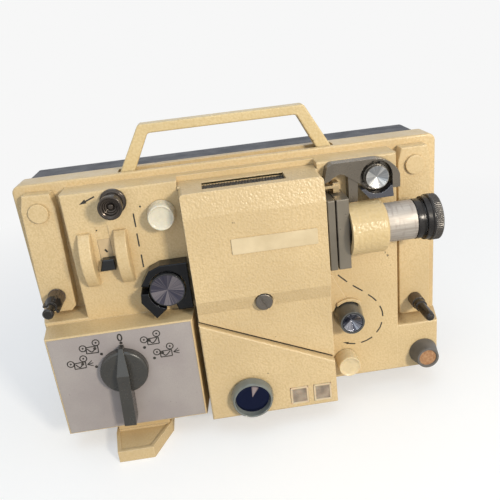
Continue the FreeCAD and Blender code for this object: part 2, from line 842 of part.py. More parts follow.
def cover_form(inset):
    """The lamp house cover's outer shape, or the space inside it."""
    back = deck_y - (0 if inset else gap)
    side = plate_yz([(back + (1.0 if inset else 0), down(cover_top_drop) - inset),
                     (deck(cover_top_depth) + inset, down(cover_top_drop) - inset),
                     (deck(cover_depth) + inset, down(cover_fold_drop) - inset * 0.2),
                     (deck(cover_depth) + inset, down(cover_band_top_drop) + inset * 0.2),
                     (deck(cover_low_depth) + inset, down(cover_band_low_drop) + inset * 0.2),
                     (deck(cover_low_depth) + inset, down(cover_end_right_drop + 10)),
                     (back + (1.0 if inset else 0), down(cover_end_right_drop + 10))],
                    cover_left - 5, cover_right + 5)
    plan = plate_xy([(cover_left + inset, deck_y + 2),
                     (cover_left + cover_draft + inset, deck(cover_depth) - 1),
                     (cover_right - inset, deck(cover_depth) - 1), (cover_right - inset, deck_y + 2)],
                    body_low, body_top)
    left, right = cover_left - 5, cover_right + 5
    front = plate_xz([(left, cover_end_z(left) + inset), (right, cover_end_z(right) + inset),
                      (right, body_top), (left, body_top)], deck(cover_depth) - 2, deck_y + 3)
    shape = side.common(plan).common(front)
    if inset == 0:
        high = down(cover_top_drop)
        shape = rounded(shape, cover_round,
                        lambda b: abs(b.ZMin - high) < 0.01 and b.XLength < 3 and b.YLength > 5)
    return shape


def lamp_cover():
    """Sheet and cast cover of the lamp house, with an air slot and a light port."""
    shell = cover_form(0).cut(cover_form(cover_wall))
    high = down(cover_top_drop)
    tongue = block(cover_left, cover_right, deck_y - 2, deck_y + cover_tongue, high - cover_wall, high)
    boss = rod_y(coin_screw_x, down(coin_screw_drop), coin_boss_radius, deck(cover_depth - coin_seat),
                 deck(cover_depth - coin_seat - coin_boss_length))
    shell = joined([shell, tongue, boss])
    cuts = [
        block(cover_vent_left, cover_vent_right, deck(cover_vent_front), deck_y + cover_vent_back,
              high - cover_wall - 1, high + 1),
        rod_y(coin_screw_x, down(coin_screw_drop), coin_screw_shank + gap, deck(cover_depth + 1), deck_y),
        rod_y(coin_screw_x, down(coin_screw_drop), coin_screw_radius + 0.7, deck(cover_depth + 1),
              deck(cover_depth - coin_seat)),
        rod_x(axis_y, axis_z, 7.0, cover_right - cover_wall - 1, cover_right + 1),
    ]
    return shell.cut(cuts)


def name_plate():
    """Thin blank plate on the front of the lamp house cover."""
    plate = block(plate_left, plate_right, deck(cover_depth + plate_proud), deck(cover_depth),
                  down(plate_top_drop + plate_height), down(plate_top_drop))
    return round_corners_y(plate, 1.0)


def cover_screw():
    """Large slotted screw of the lamp house cover."""
    z = down(coin_screw_drop)
    seat = deck(cover_depth - coin_seat)
    front = seat - coin_screw_head
    reach = coin_screw_radius + 1
    head = front_rounded(rod_y(coin_screw_x, z, coin_screw_radius, front, seat), front, 0.8)
    shank = rod_y(coin_screw_x, z, coin_screw_shank, seat - 1, deck_y + wall + 2)
    slot = block(coin_screw_x - coin_slot / 2, coin_screw_x + coin_slot / 2, front - 1,
                 front + coin_slot_depth, z - reach, z + reach)
    slot.rotate(V(coin_screw_x, 0, z), V(0, 1, 0), coin_slot_turn)
    return joined([head, shank]).cut(slot)


def sound_side(inset):
    """The sound head cover seen from the side, inset by a wall: its front leans back."""
    low = body_low - sound_overhang
    high = cover_end_z(sound_left)
    back = deck_y + (1 if inset else 0)
    return plate_yz([(back, low), (deck(sound_depth) + inset, low),
                     (deck(sound_top_depth) + inset, high), (back, high)],
                    sound_left - 5, cover_right + 5)


def sound_cover():
    """Cover of the sound heads: a shallow box with a slanting top, open to the deck."""
    low = body_low - sound_overhang
    right = cover_right - 0.5

    def form(inset):
        slit = sound_slit + inset * 1.1
        outline = [(sound_left + inset, cover_end_z(sound_left) - slit),
                   (right - inset, cover_end_z(right) - slit),
                   (right - inset, low + inset), (sound_left + inset, low + inset)]
        face = plate_xz(outline, deck(sound_depth + 1), deck_y + 1)
        return face.common(sound_side(inset))
    outer = rounded(form(0), edge_radius, lambda b: b.YMax < deck(sound_top_depth) + 0.5)
    shell = outer.cut(form(cover_wall))
    cuts = [rod_y(volume_x, rise(volume_rise), shaft_radius + running, deck(sound_depth + 1), deck_y)]
    z = rise(window_rise)
    for i in range(2):
        x = window_x + i * window_pitch
        cuts.append(block(x - window_width / 2 - fit, x + window_width / 2 + fit,
                          deck(sound_depth + 1), deck(sound_top_depth - cover_wall - 1),
                          z - window_height / 2 - fit, z + window_height / 2 + fit))
    cuts.append(block(cover_right - 4, cover_right + 1, deck(14), deck(2), rise(30), rise(33)))
    return shell.cut(cuts)


def indicator_windows():
    """Two square windows of frosted plastic, each held by a rebate behind the cover's wall."""
    panes = []
    front = sound_side(-window_proud)
    behind = sound_side(cover_wall)
    clip = behind.cut(sound_side(cover_wall + 1))
    for i in range(2):
        x = window_x + i * window_pitch
        z = rise(window_rise)
        pane = block(x - window_width / 2, x + window_width / 2, deck(sound_depth + 2), deck_y,
                     z - window_height / 2, z + window_height / 2)
        pane = rounded(pane, 1.5, lambda b: b.YLength > 1).common(front).cut(behind)
        rebate = block(x - window_width / 2 - 1, x + window_width / 2 + 1,
                       deck(sound_depth), deck_y,
                       z - window_height / 2 - 1, z + window_height / 2 + 1)
        panes.append(joined([pane, rebate.common(clip)]))
    return Part.makeCompound(panes)


def control_fascia():
    """Thin metal panel let into the front of the control box."""
    x0 = control_box_left + control_box_draft + fascia_border + fit
    x1 = control_box_right - control_box_right_draft - fascia_border - fit
    z0 = body_low + fascia_border + fit
    z1 = down(control_box_drop) - fascia_border - fit
    panel = block(x0, x1, control_box_y, control_box_y + fascia_thickness, z0, z1)
    hole = rod_y(selector_x, rise(selector_rise), selector_shaft + 1, control_box_y - 1, control_box_y + 3)
    return panel.cut(hole)


def selector_knob():
    """Pointer knob: a round base crossed by a bar whose short end slopes down to its point."""
    z = rise(selector_rise)
    y = control_box_y - gap
    base = rod_y(selector_x, z, selector_radius, y - selector_disc, y)
    base = front_rounded(base, y - selector_disc, 2.0)
    half = selector_bar_width / 2
    tip = selector_tip_width / 2
    front = y - selector_height
    outline = plate_xz([(selector_x - tip, z + selector_tip), (selector_x + tip, z + selector_tip),
                        (selector_x + half, z + selector_fold), (selector_x + half, z - selector_tail),
                        (selector_x - half, z - selector_tail), (selector_x - half, z + selector_fold)],
                       front - 1, y)
    side = plate_yz([(y, z + selector_tip + 1), (y - selector_tip_height, z + selector_tip + 1),
                     (y - selector_tip_height, z + selector_tip), (front, z + selector_fold),
                     (front, z - selector_tail - 1), (y, z - selector_tail - 1)],
                    selector_x - half - 1, selector_x + half + 1)
    shaft = rod_y(selector_x, z, selector_shaft, y - 1, control_box_y + wall + selector_shaft_reach)
    knob = joined([base, outline.common(side), shaft])
    knob.rotate(V(selector_x, 0, z), V(0, 1, 0), selector_lean)
    return knob


def selector_switch():
    """Rotary switch behind the control box's front wall."""
    z = rise(selector_rise)
    seat = control_box_y + wall
    end = seat + switch_length
    half = switch_tag / 2
    body = rod_y(selector_x, z, switch_radius, seat, end)
    tags = []
    for i in range(6):
        x = selector_x + switch_tag_radius * math.cos(math.radians(30 + 60 * i))
        up = z + switch_tag_radius * math.sin(math.radians(30 + 60 * i))
        tags.append(block(x - half, x + half, end - 1, end + switch_tag_length, up - half, up + half))
    bore = rod_y(selector_x, z, selector_shaft + running, seat - 1, seat + selector_shaft_reach + 4)
    return joined([body] + tags).cut(bore)


def volume_knob():
    """Low knob with a flared collar round a dished face."""
    y = deck(sound_depth + gap)
    end = y - volume_length
    profile = [(y, 0), (y, volume_radius), (end, volume_front_radius), (end, volume_front_radius - 1.2),
               (end + 1.6, volume_front_radius - 1.4), (end + 2.6, 0)]
    knob = turned_y(volume_x, rise(volume_rise), profile)
    shaft = rod_y(volume_x, rise(volume_rise), shaft_radius, y - 1, deck_y + wall + 9)
    return joined([knob, shaft])


def framing_knob():
    """Round white knob with a domed end."""
    z = down(framing_drop)
    knob = rod_y(framing_x, z, framing_radius, deck(gap + framing_length), deck(gap))
    knob = front_rounded(knob, deck(gap + framing_length), 2.5)
    shaft = rod_y(framing_x, z, shaft_radius, deck(1), rim_y - 4)
    lever = block(framing_x - 4, framing_x + 14, rim_y - 9, rim_y - 6, z - 4, z + 4)
    return joined([knob, shaft, lever])


def inching_knob():
    """Small ivory knob whose shaft turns the works by hand."""
    z = rise(inching_rise)
    y = deck(gap)
    end = y - inching_length
    knob = turned_y(inching_x, z, [(y, 0), (y, inching_radius), (end + 1.2, inching_front_radius),
                                   (end, inching_front_radius - 1.2), (end, 0)])
    shaft = rod_y(inching_x, z, shaft_radius, y - 1, rim_y + timing_back + timing_width)
    return joined([knob, shaft, timing_pulley(inching_x, z)])


def timing_pulley(x, z):
    """Pulley of the belt that joins the two sprocket shafts and the inching knob."""
    y0 = rim_y + timing_back
    return rod_y(x, z, timing_pulley_radius, y0, y0 + timing_width)


def format_slider():
    """Sliding button that sets the film format, with its stem and rear plate."""
    z = down(slider_drop)
    y = deck(0.1)
    half = slider_height / 2
    button = plate_xz([(slider_x - slider_width / 2, z - half), (slider_x - slider_width / 2 + 3, z + half),
                       (slider_x + slider_width / 2, z + half), (slider_x + slider_width / 2, z - half)],
                      y - slider_rise, y)
    button = front_rounded(button, y - slider_rise, 1.0)
    stem = block(slider_x - 2, slider_x + 2, y - 1, deck_y + wall + gap + 1.5, z - 3, z + 3)
    plate = block(slider_x - 7, slider_x + 7, deck_y + wall + gap, deck_y + wall + gap + 1.5, z - 6, z + 6)
    return joined([button, stem, plate])


def slider_ribs():
    """Two crowned ribs on the deck, one each side of the slider."""
    radius = ((rib_length / 2) ** 2 + (rib_crown - rib_end) ** 2) / (2 * (rib_crown - rib_end))
    middle = down(rib_top_drop + rib_length / 2)
    ribs = []
    for x in (slider_x - rib_gap - rib_width, slider_x + rib_gap):
        disc = rod_x(deck(rib_crown) + radius, middle, radius, x, x + rib_width)
        rib = disc.common(block(x, x + rib_width, deck(rib_crown + 1), deck_y,
                                middle - rib_length / 2, middle + rib_length / 2))
        rib = rounded(rib, rib_round,
                      lambda b: b.XLength < 0.01 and b.ZLength > 5 and b.YMin < deck_y - 1)
        ribs.append(rib)
    return Part.makeCompound(ribs)


def entry_roller():
    """Flanged guide roller with a deep recess in its front, turning on its own shaft."""
    z = down(entry_roller_drop)
    back = deck(1.0)
    end = back - entry_roller_length
    profile = [(back, 0), (back, entry_roller_radius), (back - 2, entry_roller_radius),
               (back - 3, entry_roller_waist), (end + 5, entry_roller_waist), (end + 4, entry_roller_front),
               (end, entry_roller_front), (end, entry_roller_front - 2), (end + 6, entry_roller_front - 2.8),
               (end + 6, entry_pin_radius), (end + 4.5, entry_pin_radius), (end + 4.5, 0)]
    roller = turned_y(entry_roller_x, z, profile)
    shaft = rod_y(entry_roller_x, z, entry_pin_radius, back - 1, deck_y + wall + gap + 1)
    collar = rod_y(entry_roller_x, z, entry_pin_radius + 2, deck_y + wall + gap, deck_y + wall + gap + 2.5)
    return joined([roller, shaft, collar])


def arm_pivots():
    """Two arm pivots, each with its cap in front and its nut inside the casting."""
    studs = []
    for x in arm_places.values():
        shank = rod_y(x, pivot_z, pivot_radius, arm_front - 0.5, rim_y + wall + 4)
        cap = rod_y(x, pivot_z, pivot_cap_radius, arm_front - gap - pivot_cap_thickness, arm_front - gap)
        cap = front_rounded(cap, arm_front - gap - pivot_cap_thickness, 0.6)
        nut = rod_y(x, pivot_z, pivot_radius + 3, rim_y + wall, rim_y + wall + 4)
        studs.append(joined([shank, cap, nut]))
    return Part.makeCompound(studs)


def loop_roller():
    """Tapered roller with a conical dish, on the flywheel's shaft."""
    z = down(loop_roller_drop)
    y = deck(0.5)
    end = y - loop_roller_length
    profile = [(y, 0), (y, loop_roller_radius), (end, loop_roller_front), (end, loop_roller_front - 1.3),
               (end + 1, loop_roller_front - 1.6), (end + 6.5, 0)]
    roller = turned_y(loop_roller_x, z, profile)
    shaft = rod_y(loop_roller_x, z, shaft_radius, y - 1, plate_rear)
    return joined([roller, shaft])


def flywheel():
    """Steel flywheel that steadies the film at the sound heads."""
    z = down(loop_roller_drop)
    y0 = rim_y + flywheel_back
    y1 = y0 + flywheel_width
    web = y0 + flywheel_dish
    rim_inside = flywheel_radius - flywheel_rim
    profile = [(y0, shaft_radius), (y0, flywheel_hub), (web, flywheel_hub), (web, rim_inside),
               (y0, rim_inside), (y0, flywheel_radius), (y1, flywheel_radius), (y1, shaft_radius)]
    return turned_y(loop_roller_x, z, profile)


def sprocket(x, z, back_radius, face_radius, length):
    """Toothed film drum between a back flange and a dished front disc, on its shaft."""
    back = deck(0.5)
    end = back - length
    disc = 3.5
    profile = [(back, 0), (back, back_radius), (back - 1.8, back_radius), (back - 1.8, drum_radius),
               (end + disc, drum_radius), (end + disc, face_radius), (end, face_radius), (end + 2.4, 0)]
    wheel = turned_y(x, z, profile)
    teeth = []
    for i in range(sprocket_teeth):
        tooth = block(x + drum_radius - 0.5, x + drum_radius + tooth_height, back - 3.4, back - 2.4,
                      z - tooth_width / 2, z + tooth_width / 2)
        tooth.rotate(V(x, 0, z), V(0, 1, 0), 360.0 * i / sprocket_teeth)
        teeth.append(tooth)
    shaft = rod_y(x, z, shaft_radius, back - 1, rim_y + timing_back + timing_width)
    return joined([wheel, shaft, timing_pulley(x, z)] + teeth)


def upper_sprocket():
    """Feed sprocket at the upper right."""
    return sprocket(upper_sprocket_x, down(upper_sprocket_drop), upper_flange_radius, upper_face_radius,
                    upper_sprocket_length)


def lower_sprocket():
    """Take-up sprocket at the left, whose shaft carries the worm wheel."""
    z = down(lower_sprocket_drop)
    wheel_radius = main_shaft_z - z - worm_radius - mesh_gap
    y0 = main_shaft_y - worm_wheel_width / 2
    wheel = rod_y(lower_sprocket_x, z, wheel_radius, y0, y0 + worm_wheel_width)
    notches = []
    for i in range(worm_wheel_teeth):
        notch = block(lower_sprocket_x + wheel_radius - 1.6, lower_sprocket_x + wheel_radius + 1,
                      y0 - 1, y0 + worm_wheel_width + 1, z - 0.9, z + 0.9)
        notch.rotate(V(lower_sprocket_x, 0, z), V(0, 1, 0), 360.0 * i / worm_wheel_teeth)
        notches.append(notch)
    drum = sprocket(lower_sprocket_x, z, drum_radius + 1.6, lower_face_radius, lower_sprocket_length)
    return joined([drum, wheel.cut(notches)])


def upper_guard():
    """Arched film guard round the feed sprocket, with the guide plate below it."""
    x = upper_sprocket_x
    z = down(upper_sprocket_drop)
    left = gate_left + 2
    top = deck_top - 0.4
    arch = plate_xz([(left, z - 0.5), (left + 3, top - 2.5), (left + 6.5, top), (x - 1.5, top),
                     (x - 1.5, z - 8), (x - 11, z - 5), (left + 15, z + 4.6), (left + 11.5, z + 5.2),
                     (left + 7.5, z + 3.4), (left + 4.5, z + 0.8)], deck(guard_depth), deck_y)
    disc = rod_y(x - 1.5, z - 7, top - z + 7, deck(guard_depth), deck_y)
    disc = disc.common(block(x - 1.5, deck_half - 0.4, deck(guard_depth + 1), deck_y + 1, z - 10, z + 30))
    shape = joined([arch, disc])
    hole = upper_flange_radius + 0.8
    shape = shape.cut(rod_y(x, z, hole, deck(guard_depth + 1), deck_y + 1))
    shape = shape.cut(block(x - hole, x + hole, deck(guard_depth + 1), deck_y + 1, z - 30, z))
    low = carrier_z + carrier_radius - 1.0
    guide = plate_xz([(x - 21, z + 6), (x - 13.5, z + 2), (x - 14.5, low), (x - 21, low)],
                     deck(guard_depth - 1), deck_y)
    guide = guide.cut(rod_y(x, z, hole, deck(guard_depth + 1), deck_y + 1))
    return joined([shape, guide])


def upper_shoe():
    """Film shoe under the feed sprocket."""
    x = upper_sprocket_x
    z = down(upper_sprocket_drop)
    low = carrier_z + carrier_radius + 0.9
    shape = plate_xz([(x - 12.5, z - 8), (x - 6, low), (x + 12, low), (x + 11, z - 7)],
                     deck(shoe_depth), deck_y)
    return shape.cut(rod_y(x, z, upper_flange_radius + 0.8, deck(shoe_depth + 1), deck_y + 1))


def film_entry():
    """Brass channel that leads the film into the gate."""
    z = down(upper_sprocket_drop)
    bar = block(gate_left + 1.5, gate_left + 12, deck(13), deck_y, z - 3.5, z - 1.5)
    post = block(gate_left + 8, gate_left + 12.5, deck(12), deck_y, z - 7.2, z + 0.2)
    return joined([bar, post])


def lower_guard():
    """Black stepped guard round the take-up sprocket."""
    x = lower_sprocket_x
    z = down(lower_sprocket_drop)
    right = cover_left - lower_guard_gap
    low = z - lower_guard_low
    top = z + lower_guard_top
    shape = plate_xz([(x - lower_guard_left, z + 4),
                      (x - lower_guard_shoulder, z + lower_guard_shoulder_rise), (x - 3.5, top),
                      (right, top), (right, low), (x + 6, low), (x, z)],
                     deck(lower_guard_depth), deck_y)
    shape = front_rounded(shape, deck(lower_guard_depth), 0.8)
    hole = lower_face_radius + sprocket_clearance
    return shape.cut(rod_y(x, z, hole, deck(lower_guard_depth + 1), deck_y + 1))


def lower_shoe():
    """Film shoe hinged beside the take-up sprocket."""
    x = lower_sprocket_x
    z = down(lower_sprocket_drop)
    shape = plate_xz([(x - 19.9, z + 0.5), (x - 20.7, z - 6.7), (x - 11.2, z - 21.3), (x - 2.6, z - 14.6),
                      (x - 11.6, z - 0.4)], deck(lower_shoe_depth), deck(0.5))
    shape = front_rounded(shape, deck(lower_shoe_depth), 0.6)
    hole = lower_face_radius + sprocket_clearance
    shape = shape.cut(rod_y(x, z, hole, deck(lower_shoe_depth + 1), deck_y + 1))
    pin = rod_y(shoe_pivot_x, shoe_pivot_z, shoe_pin_radius, deck(1), deck_y + wall)
    return joined([shape, pin])


def gate_plate():
    """Fixed half of the film gate, with the picture aperture."""
    z0 = carrier_z - gate_height / 2
    slab = block(gate_left, gate_right, deck(gate_depth), deck_y, z0, z0 + gate_height)
    slab = front_rounded(slab, deck(gate_depth), gate_round)
    aperture = block(gate_left - 1, gate_right + 1,
                     axis_y - aperture_height / 2, axis_y + aperture_height / 2,
                     axis_z - aperture_width / 2, axis_z + aperture_width / 2)
    return slab.cut(aperture)


def pressure_plate():
    """Moving half of the film gate, carried by the lens carrier."""
    z0 = carrier_z - gate_height / 2
    slab = block(pressure_left, carrier_left, deck(gate_depth), deck(gap), z0, z0 + gate_height)
    slab = front_rounded(slab, deck(gate_depth), gate_round)
    return slab.cut(rod_x(axis_y, axis_z, 6.0, pressure_left - 1, carrier_left + 1))


def lens_carrier():
    """Cast holder that grips the lens barrel and slides away from the gate on a rail."""
    holder = rod_x(axis_y, carrier_z, carrier_radius, carrier_left, carrier_right)
    holder = rounded(holder, carrier_round, lambda b: abs(b.XMin - carrier_right) < 0.01)
    holder = holder.common(block(carrier_left - 1, carrier_right + 1, axis_y - carrier_radius - 1, deck(gap),
                                 carrier_z - carrier_radius - 1, carrier_z + carrier_radius + 1))
    x0 = carrier_left + 2.6
    rail = block(x0, x0 + rail_length, deck(1), deck_y + wall + gap + 1.5,
                 axis_z - rail_height / 2, axis_z + rail_height / 2)
    keeper = block(x0, x0 + rail_length, deck_y + wall + gap, deck_y + wall + gap + 1.5,
                   axis_z - rail_height / 2 - 4, axis_z + rail_height / 2 + 4)
    bore = rod_x(axis_y, axis_z, barrel_radius + running, carrier_left - 1, carrier_right + 1)
    return joined([holder, rail, keeper]).cut(bore)


def lens_barrel():
    """Bright lens tube, stepped down where the ring turns on it."""
    inner = barrel_radius - barrel_wall
    x0 = carrier_left + barrel_start
    x1 = ring_right - 2.5
    profile = [(x0, inner), (x0, barrel_radius), (ring_left - gap, barrel_radius),
               (ring_left - gap, ring_seat_radius), (x1, ring_seat_radius), (x1, inner)]
    return turned_x(axis_y, axis_z, profile)


def lens_ring():
    """Black ring at the lens's front: a neck, a groove and a wide grip."""
    bore = ring_seat_radius + running
    neck_end = ring_left + ring_neck_length
    step = neck_end + ring_groove
    grip = step + ring_step_length
    lip = ring_right - 2.2
    profile = [(ring_left, bore), (ring_left, ring_neck_radius), (neck_end, ring_neck_radius),
               (neck_end, ring_neck_radius - 0.8), (step, ring_neck_radius - 0.8), (step, ring_radius - 1),
               (grip, ring_radius - 1), (grip, ring_radius), (ring_right - 0.6, ring_radius),
               (ring_right, ring_radius - 0.6), (ring_right, ring_radius - 3.4),
               (lip, ring_seat_radius - 1), (lip, bore)]
    return turned_x(axis_y, axis_z, profile)


def lens_glass():
    """Three glasses seated in the barrel."""
    radius = barrel_radius - barrel_wall
    places = [carrier_left + barrel_start + 6, ring_left - 14, ring_right - 6.5]
    return Part.makeCompound([lens(x, glass_thickness, radius, 1.8) for x in places])


def arm(side, reach, foot_outline):
    """Hollow cast reel arm with bosses for its pivot and its spindle."""
    x = arm_places[side]
    half = arm_width / 2

    def form(inset):
        head = arm_head - inset
        points = [(x - half + 2.8 + inset, pivot_z + head), (x + half - 2.8 - inset, pivot_z + head),
                  (x + half - inset, pivot_z + 3)]
        points += [(x + (half - inset) * px, pivot_z - reach - (arm_tail - inset) * pz)
                   for px, pz in foot_outline]
        points += [(x - half + inset, pivot_z + 3)]
        return points
    back = rim_y - gap
    outer = front_rounded(plate_xz(form(0), arm_front, back), arm_front, 1.0)
    inner = plate_xz(form(arm_wall), arm_front + arm_face_wall, back + 1)
    boss = rod_y(x, pivot_z, pivot_radius + 3, arm_front + 1, back)
    hub = rod_y(x, pivot_z - reach, spindle_shaft + 3, arm_front + 1, arm_front + arm_face_wall + 1.5)
    shape = joined([outer.cut(inner), boss, hub])
    return shape.cut([rod_y(x, pivot_z, pivot_radius + running, arm_front - 1, back + 1),
                      rod_y(x, pivot_z - reach, spindle_shaft + running, arm_front - 1, back + 1)])


def spindle_drum(x, z):
    """Shaft and belt pulley of a reel spindle, inside its arm."""
    shaft = rod_y(x, z, spindle_shaft, arm_front - 1, rim_y - gap - 0.8)
    pulley = rod_y(x, z, spindle_shaft + 4.5, rim_y - gap - 4.3, rim_y - gap - 0.8)
    return joined([shaft, pulley])


def lean(shape):
    """Turn a piece of the left arm to the angle at which the arm is folded."""
    shape.rotate(V(-pivot_x, 0, pivot_z), V(0, 1, 0), left_arm_lean)
    return shape


def left_arm():
    """Take-up arm, with its outer lower corner cut away."""
    foot = [(1.0, 0.7), (0.7, 1.0), (-0.6, 1.0), (-1.0, 0.2)]
    return lean(arm(-1, left_arm_reach, foot))


def right_arm():
    """Supply arm, longer and nearly square at its end."""
    foot = [(1.0, 0.9), (0.9, 1.0), (-0.9, 1.0), (-1.0, 0.9)]
    return arm(1, right_arm_reach, foot)


def left_spindle():
    """Spindle with a finned reel adapter, a waist and a button end."""
    x = -pivot_x
    z = pivot_z - left_arm_reach
    y = arm_front - gap
    end = y - left_spindle_length
    collar = adapter_radius + 0.5
    waist = 2.9
    button = 4.2
    profile = [(y, 0), (y, collar), (y - 1.2, collar), (y - 1.2, adapter_radius), (y - 13, adapter_radius),
               (y - 19, button - 0.2), (y - 19, waist), (end + 4, waist), (end + 4, button),
               (end + 1, button), (end, button - 1), (end, 0)]
    core = turned_y(x, z, profile)
    fins = []
    for i in range(3):
        fin = block(x - 0.8, x + 0.8, y - 17, y - 2, z, z + adapter_radius + 0.9)
        fin.rotate(V(x, 0, z), V(0, 1, 0), 120 * i + 30)
        fins.append(fin)
    return lean(joined([core, spindle_drum(x, z)] + fins))


def right_spindle():
    """Stepped spindle with a rounded tip."""
    x = right_pivot_x
    z = pivot_z - right_arm_reach
    y = arm_front - gap
    end = y - right_spindle_length
    base_end = y - right_spindle_base_length
    step_end = y - right_spindle_step_end
    profile = [(y, 0), (y, right_spindle_base), (base_end, right_spindle_base),
               (base_end - 0.5, right_spindle_step), (step_end, right_spindle_step),
               (step_end - 0.8, right_spindle_radius), (end + 5, right_spindle_radius),
               (end + 2.2, right_spindle_radius - 0.5), (end + 0.6, right_spindle_radius - 1.6),
               (end, right_spindle_radius - 3), (end, 0)]
    return joined([turned_y(x, z, profile), spindle_drum(x, z)])


def tilt_knob():
    """Tapered knob with a recessed face, on the pinion shaft of the tilting foot."""
    y = deck(gap)
    end = y - tilt_knob_length
    profile = [(y, 0), (y, tilt_knob_radius), (end, tilt_knob_front_radius),
               (end, tilt_knob_front_radius - 1.6), (end + 1.2, tilt_knob_front_radius - 2.0),
               (end + 1.2, 0)]
    knob = turned_y(tilt_x, tilt_z, profile)
    shaft = rod_y(tilt_x, tilt_z, shaft_radius, y - 1, plate_rear)
    y0 = rim_y + stem_back - stem_depth / 2
    pinion = rod_y(tilt_x, tilt_z, pinion_radius, y0, y0 + stem_depth - 2)
    notches = []
    for i in range(pinion_teeth):
        notch = block(tilt_x + pinion_radius - 0.3, tilt_x + pinion_radius + 1, y0 - 1, y0 + stem_depth,
                      tilt_z - 0.5, tilt_z + 0.5)
        notch.rotate(V(tilt_x, 0, tilt_z), V(0, 1, 0), 360.0 * i / pinion_teeth)
        notches.append(notch)
    return joined([knob, shaft, pinion.cut(notches)])


def tilt_foot():
    """Square rack that the pinion drives down to raise the lens side."""
    x0 = stem_x - stem_width / 2
    y0 = rim_y + stem_back - stem_depth / 2
    low = foot_rubber_height - stem_seat
    top = tilt_z + tilt_travel + rack_end
    stem = block(x0, x0 + stem_width, y0, y0 + stem_depth, low, top)
    pitch = 2 * math.pi * pinion_radius / pinion_teeth
    notches = []
    place = tilt_z + 2
    while place < top - pitch:
        notches.append(block(x0 - 1, x0 + rack_tooth, y0 - 1, y0 + stem_depth + 1,
                             place - pitch / 4, place + pitch / 4))
        place += pitch
    collar = rod_z(stem_x, rim_y + stem_back, 4.8, foot_rubber_height, foot_rubber_height + 1.2)
    return joined([stem, collar]).cut(notches)


def foot_rubber():
    """Round rubber shoe on the tilting foot."""
    y = rim_y + stem_back
    shoe = rod_z(stem_x, y, foot_rubber_radius, 0, foot_rubber_height)
    shoe = rounded(shoe, 1.0, lambda b: b.ZLength < 0.01 and b.XLength > 5)
    return shoe.cut(block(stem_x - stem_width / 2, stem_x + stem_width / 2,
                          y - stem_depth / 2, y + stem_depth / 2,
                          foot_rubber_height - stem_seat, foot_rubber_height + 1))


def front_foot():
    """Cast foot under the control box that reaches forward as a shallow tray."""
    left = selector_x - front_foot_left
    right = selector_x + front_foot_right
    toe_left = left + front_foot_flare
    toe_right = toe_left + front_foot_toe
    toe = deck(front_foot_reach)
    rim = front_foot_rim
    pad = plate_xy([(left, deck_y + 4), (left, deck(front_foot_side)), (toe_left, toe),
                    (toe_right, toe), (right, deck(front_foot_heel)), (right, deck_y + 4)],
                   0, front_foot_thickness)
    heel = deck(front_foot_heel + 2)
    inner = [(left + rim, heel), (left + rim, deck(front_foot_side)), (toe_left + rim, toe + rim),
             (toe_right - 0.7 * rim, toe + rim), (right - 1.2 * rim, heel)]
    pad = pad.cut(plate_xy(inner, front_foot_thickness - front_foot_tray, front_foot_thickness + 1))
    neck = block(left + 2, right - 2, deck(front_foot_heel + 1), deck_y + 4,
                 front_foot_thickness - 0.5, body_low)
    return joined([pad, neck])


def rear_feet():
    """Two rubber feet under the rear cover."""
    feet = []
    for side in (-1, 1):
        x = side * (half_width - rear_foot_inset)
        foot = rod_z(x, rim_y + rear_foot_back, rear_foot_radius, 0, body_low + rear_inset)
        feet.append(rounded(foot, 1.5, lambda b: b.ZMax < 0.01))
    return Part.makeCompound(feet)


def motor():
    """Induction motor: a square stator, two end bells and a bracket to the chassis plate."""
    half = motor_side / 2
    right = motor_left + motor_length
    stator = block(motor_left, right, motor_y - half, motor_y + half, motor_z - half, motor_z + half)
    stator = rounded(stator, 5, lambda b: b.XLength > 20)
    solids = [stator]
    for x in (motor_left - end_bell, right):
        solids.append(rod_x(motor_y, motor_z, half - 3, x, x + end_bell))
    top = motor_z + half
    low = motor_z - half
    ear = motor_left + motor_foot
    lug = motor_y - 2 * motor_bracket
    solids += [block(motor_left, right, plate_rear, motor_y, top, top + motor_bracket),
               block(motor_left, right, lug, motor_y, top - motor_bracket, top + motor_bracket),
               block(motor_left, ear, plate_rear, motor_y, low - motor_bracket, low),
               block(motor_left, ear, lug, motor_y, low - motor_bracket, low + motor_bracket)]
    shape = joined(solids)
    return shape.cut([rod_x(motor_y, motor_z, rotor_radius, motor_left, right),
                      rod_x(motor_y, motor_z, shaft_radius + running, motor_left - 10, right + 10)])


def motor_shaft():
    """Rotor, shaft and belt pulley of the motor."""
    right = motor_left + motor_length
    shaft = rod_x(motor_y, motor_z, shaft_radius, drive_belt_x - pulley_width, fan_left + fan_length - 4)
    rotor = rod_x(motor_y, motor_z, rotor_radius - rotor_gap, motor_left + 1, right - 1)
    return joined([shaft, rotor, belt_pulley(motor_y, motor_z, motor_pulley_radius)])


def belt_pulley(y, z, radius):
    """Flanged pulley of the drive belt."""
    x0 = drive_belt_x - pulley_width / 2
    x1 = x0 + pulley_width
    flange = radius + 2.2
    profile = [(x0, 0), (x0, flange), (x0 + 1, flange), (x0 + 1, radius), (x1 - 1, radius),
               (x1 - 1, flange), (x1, flange), (x1, 0)]
    return turned_x(y, z, profile)


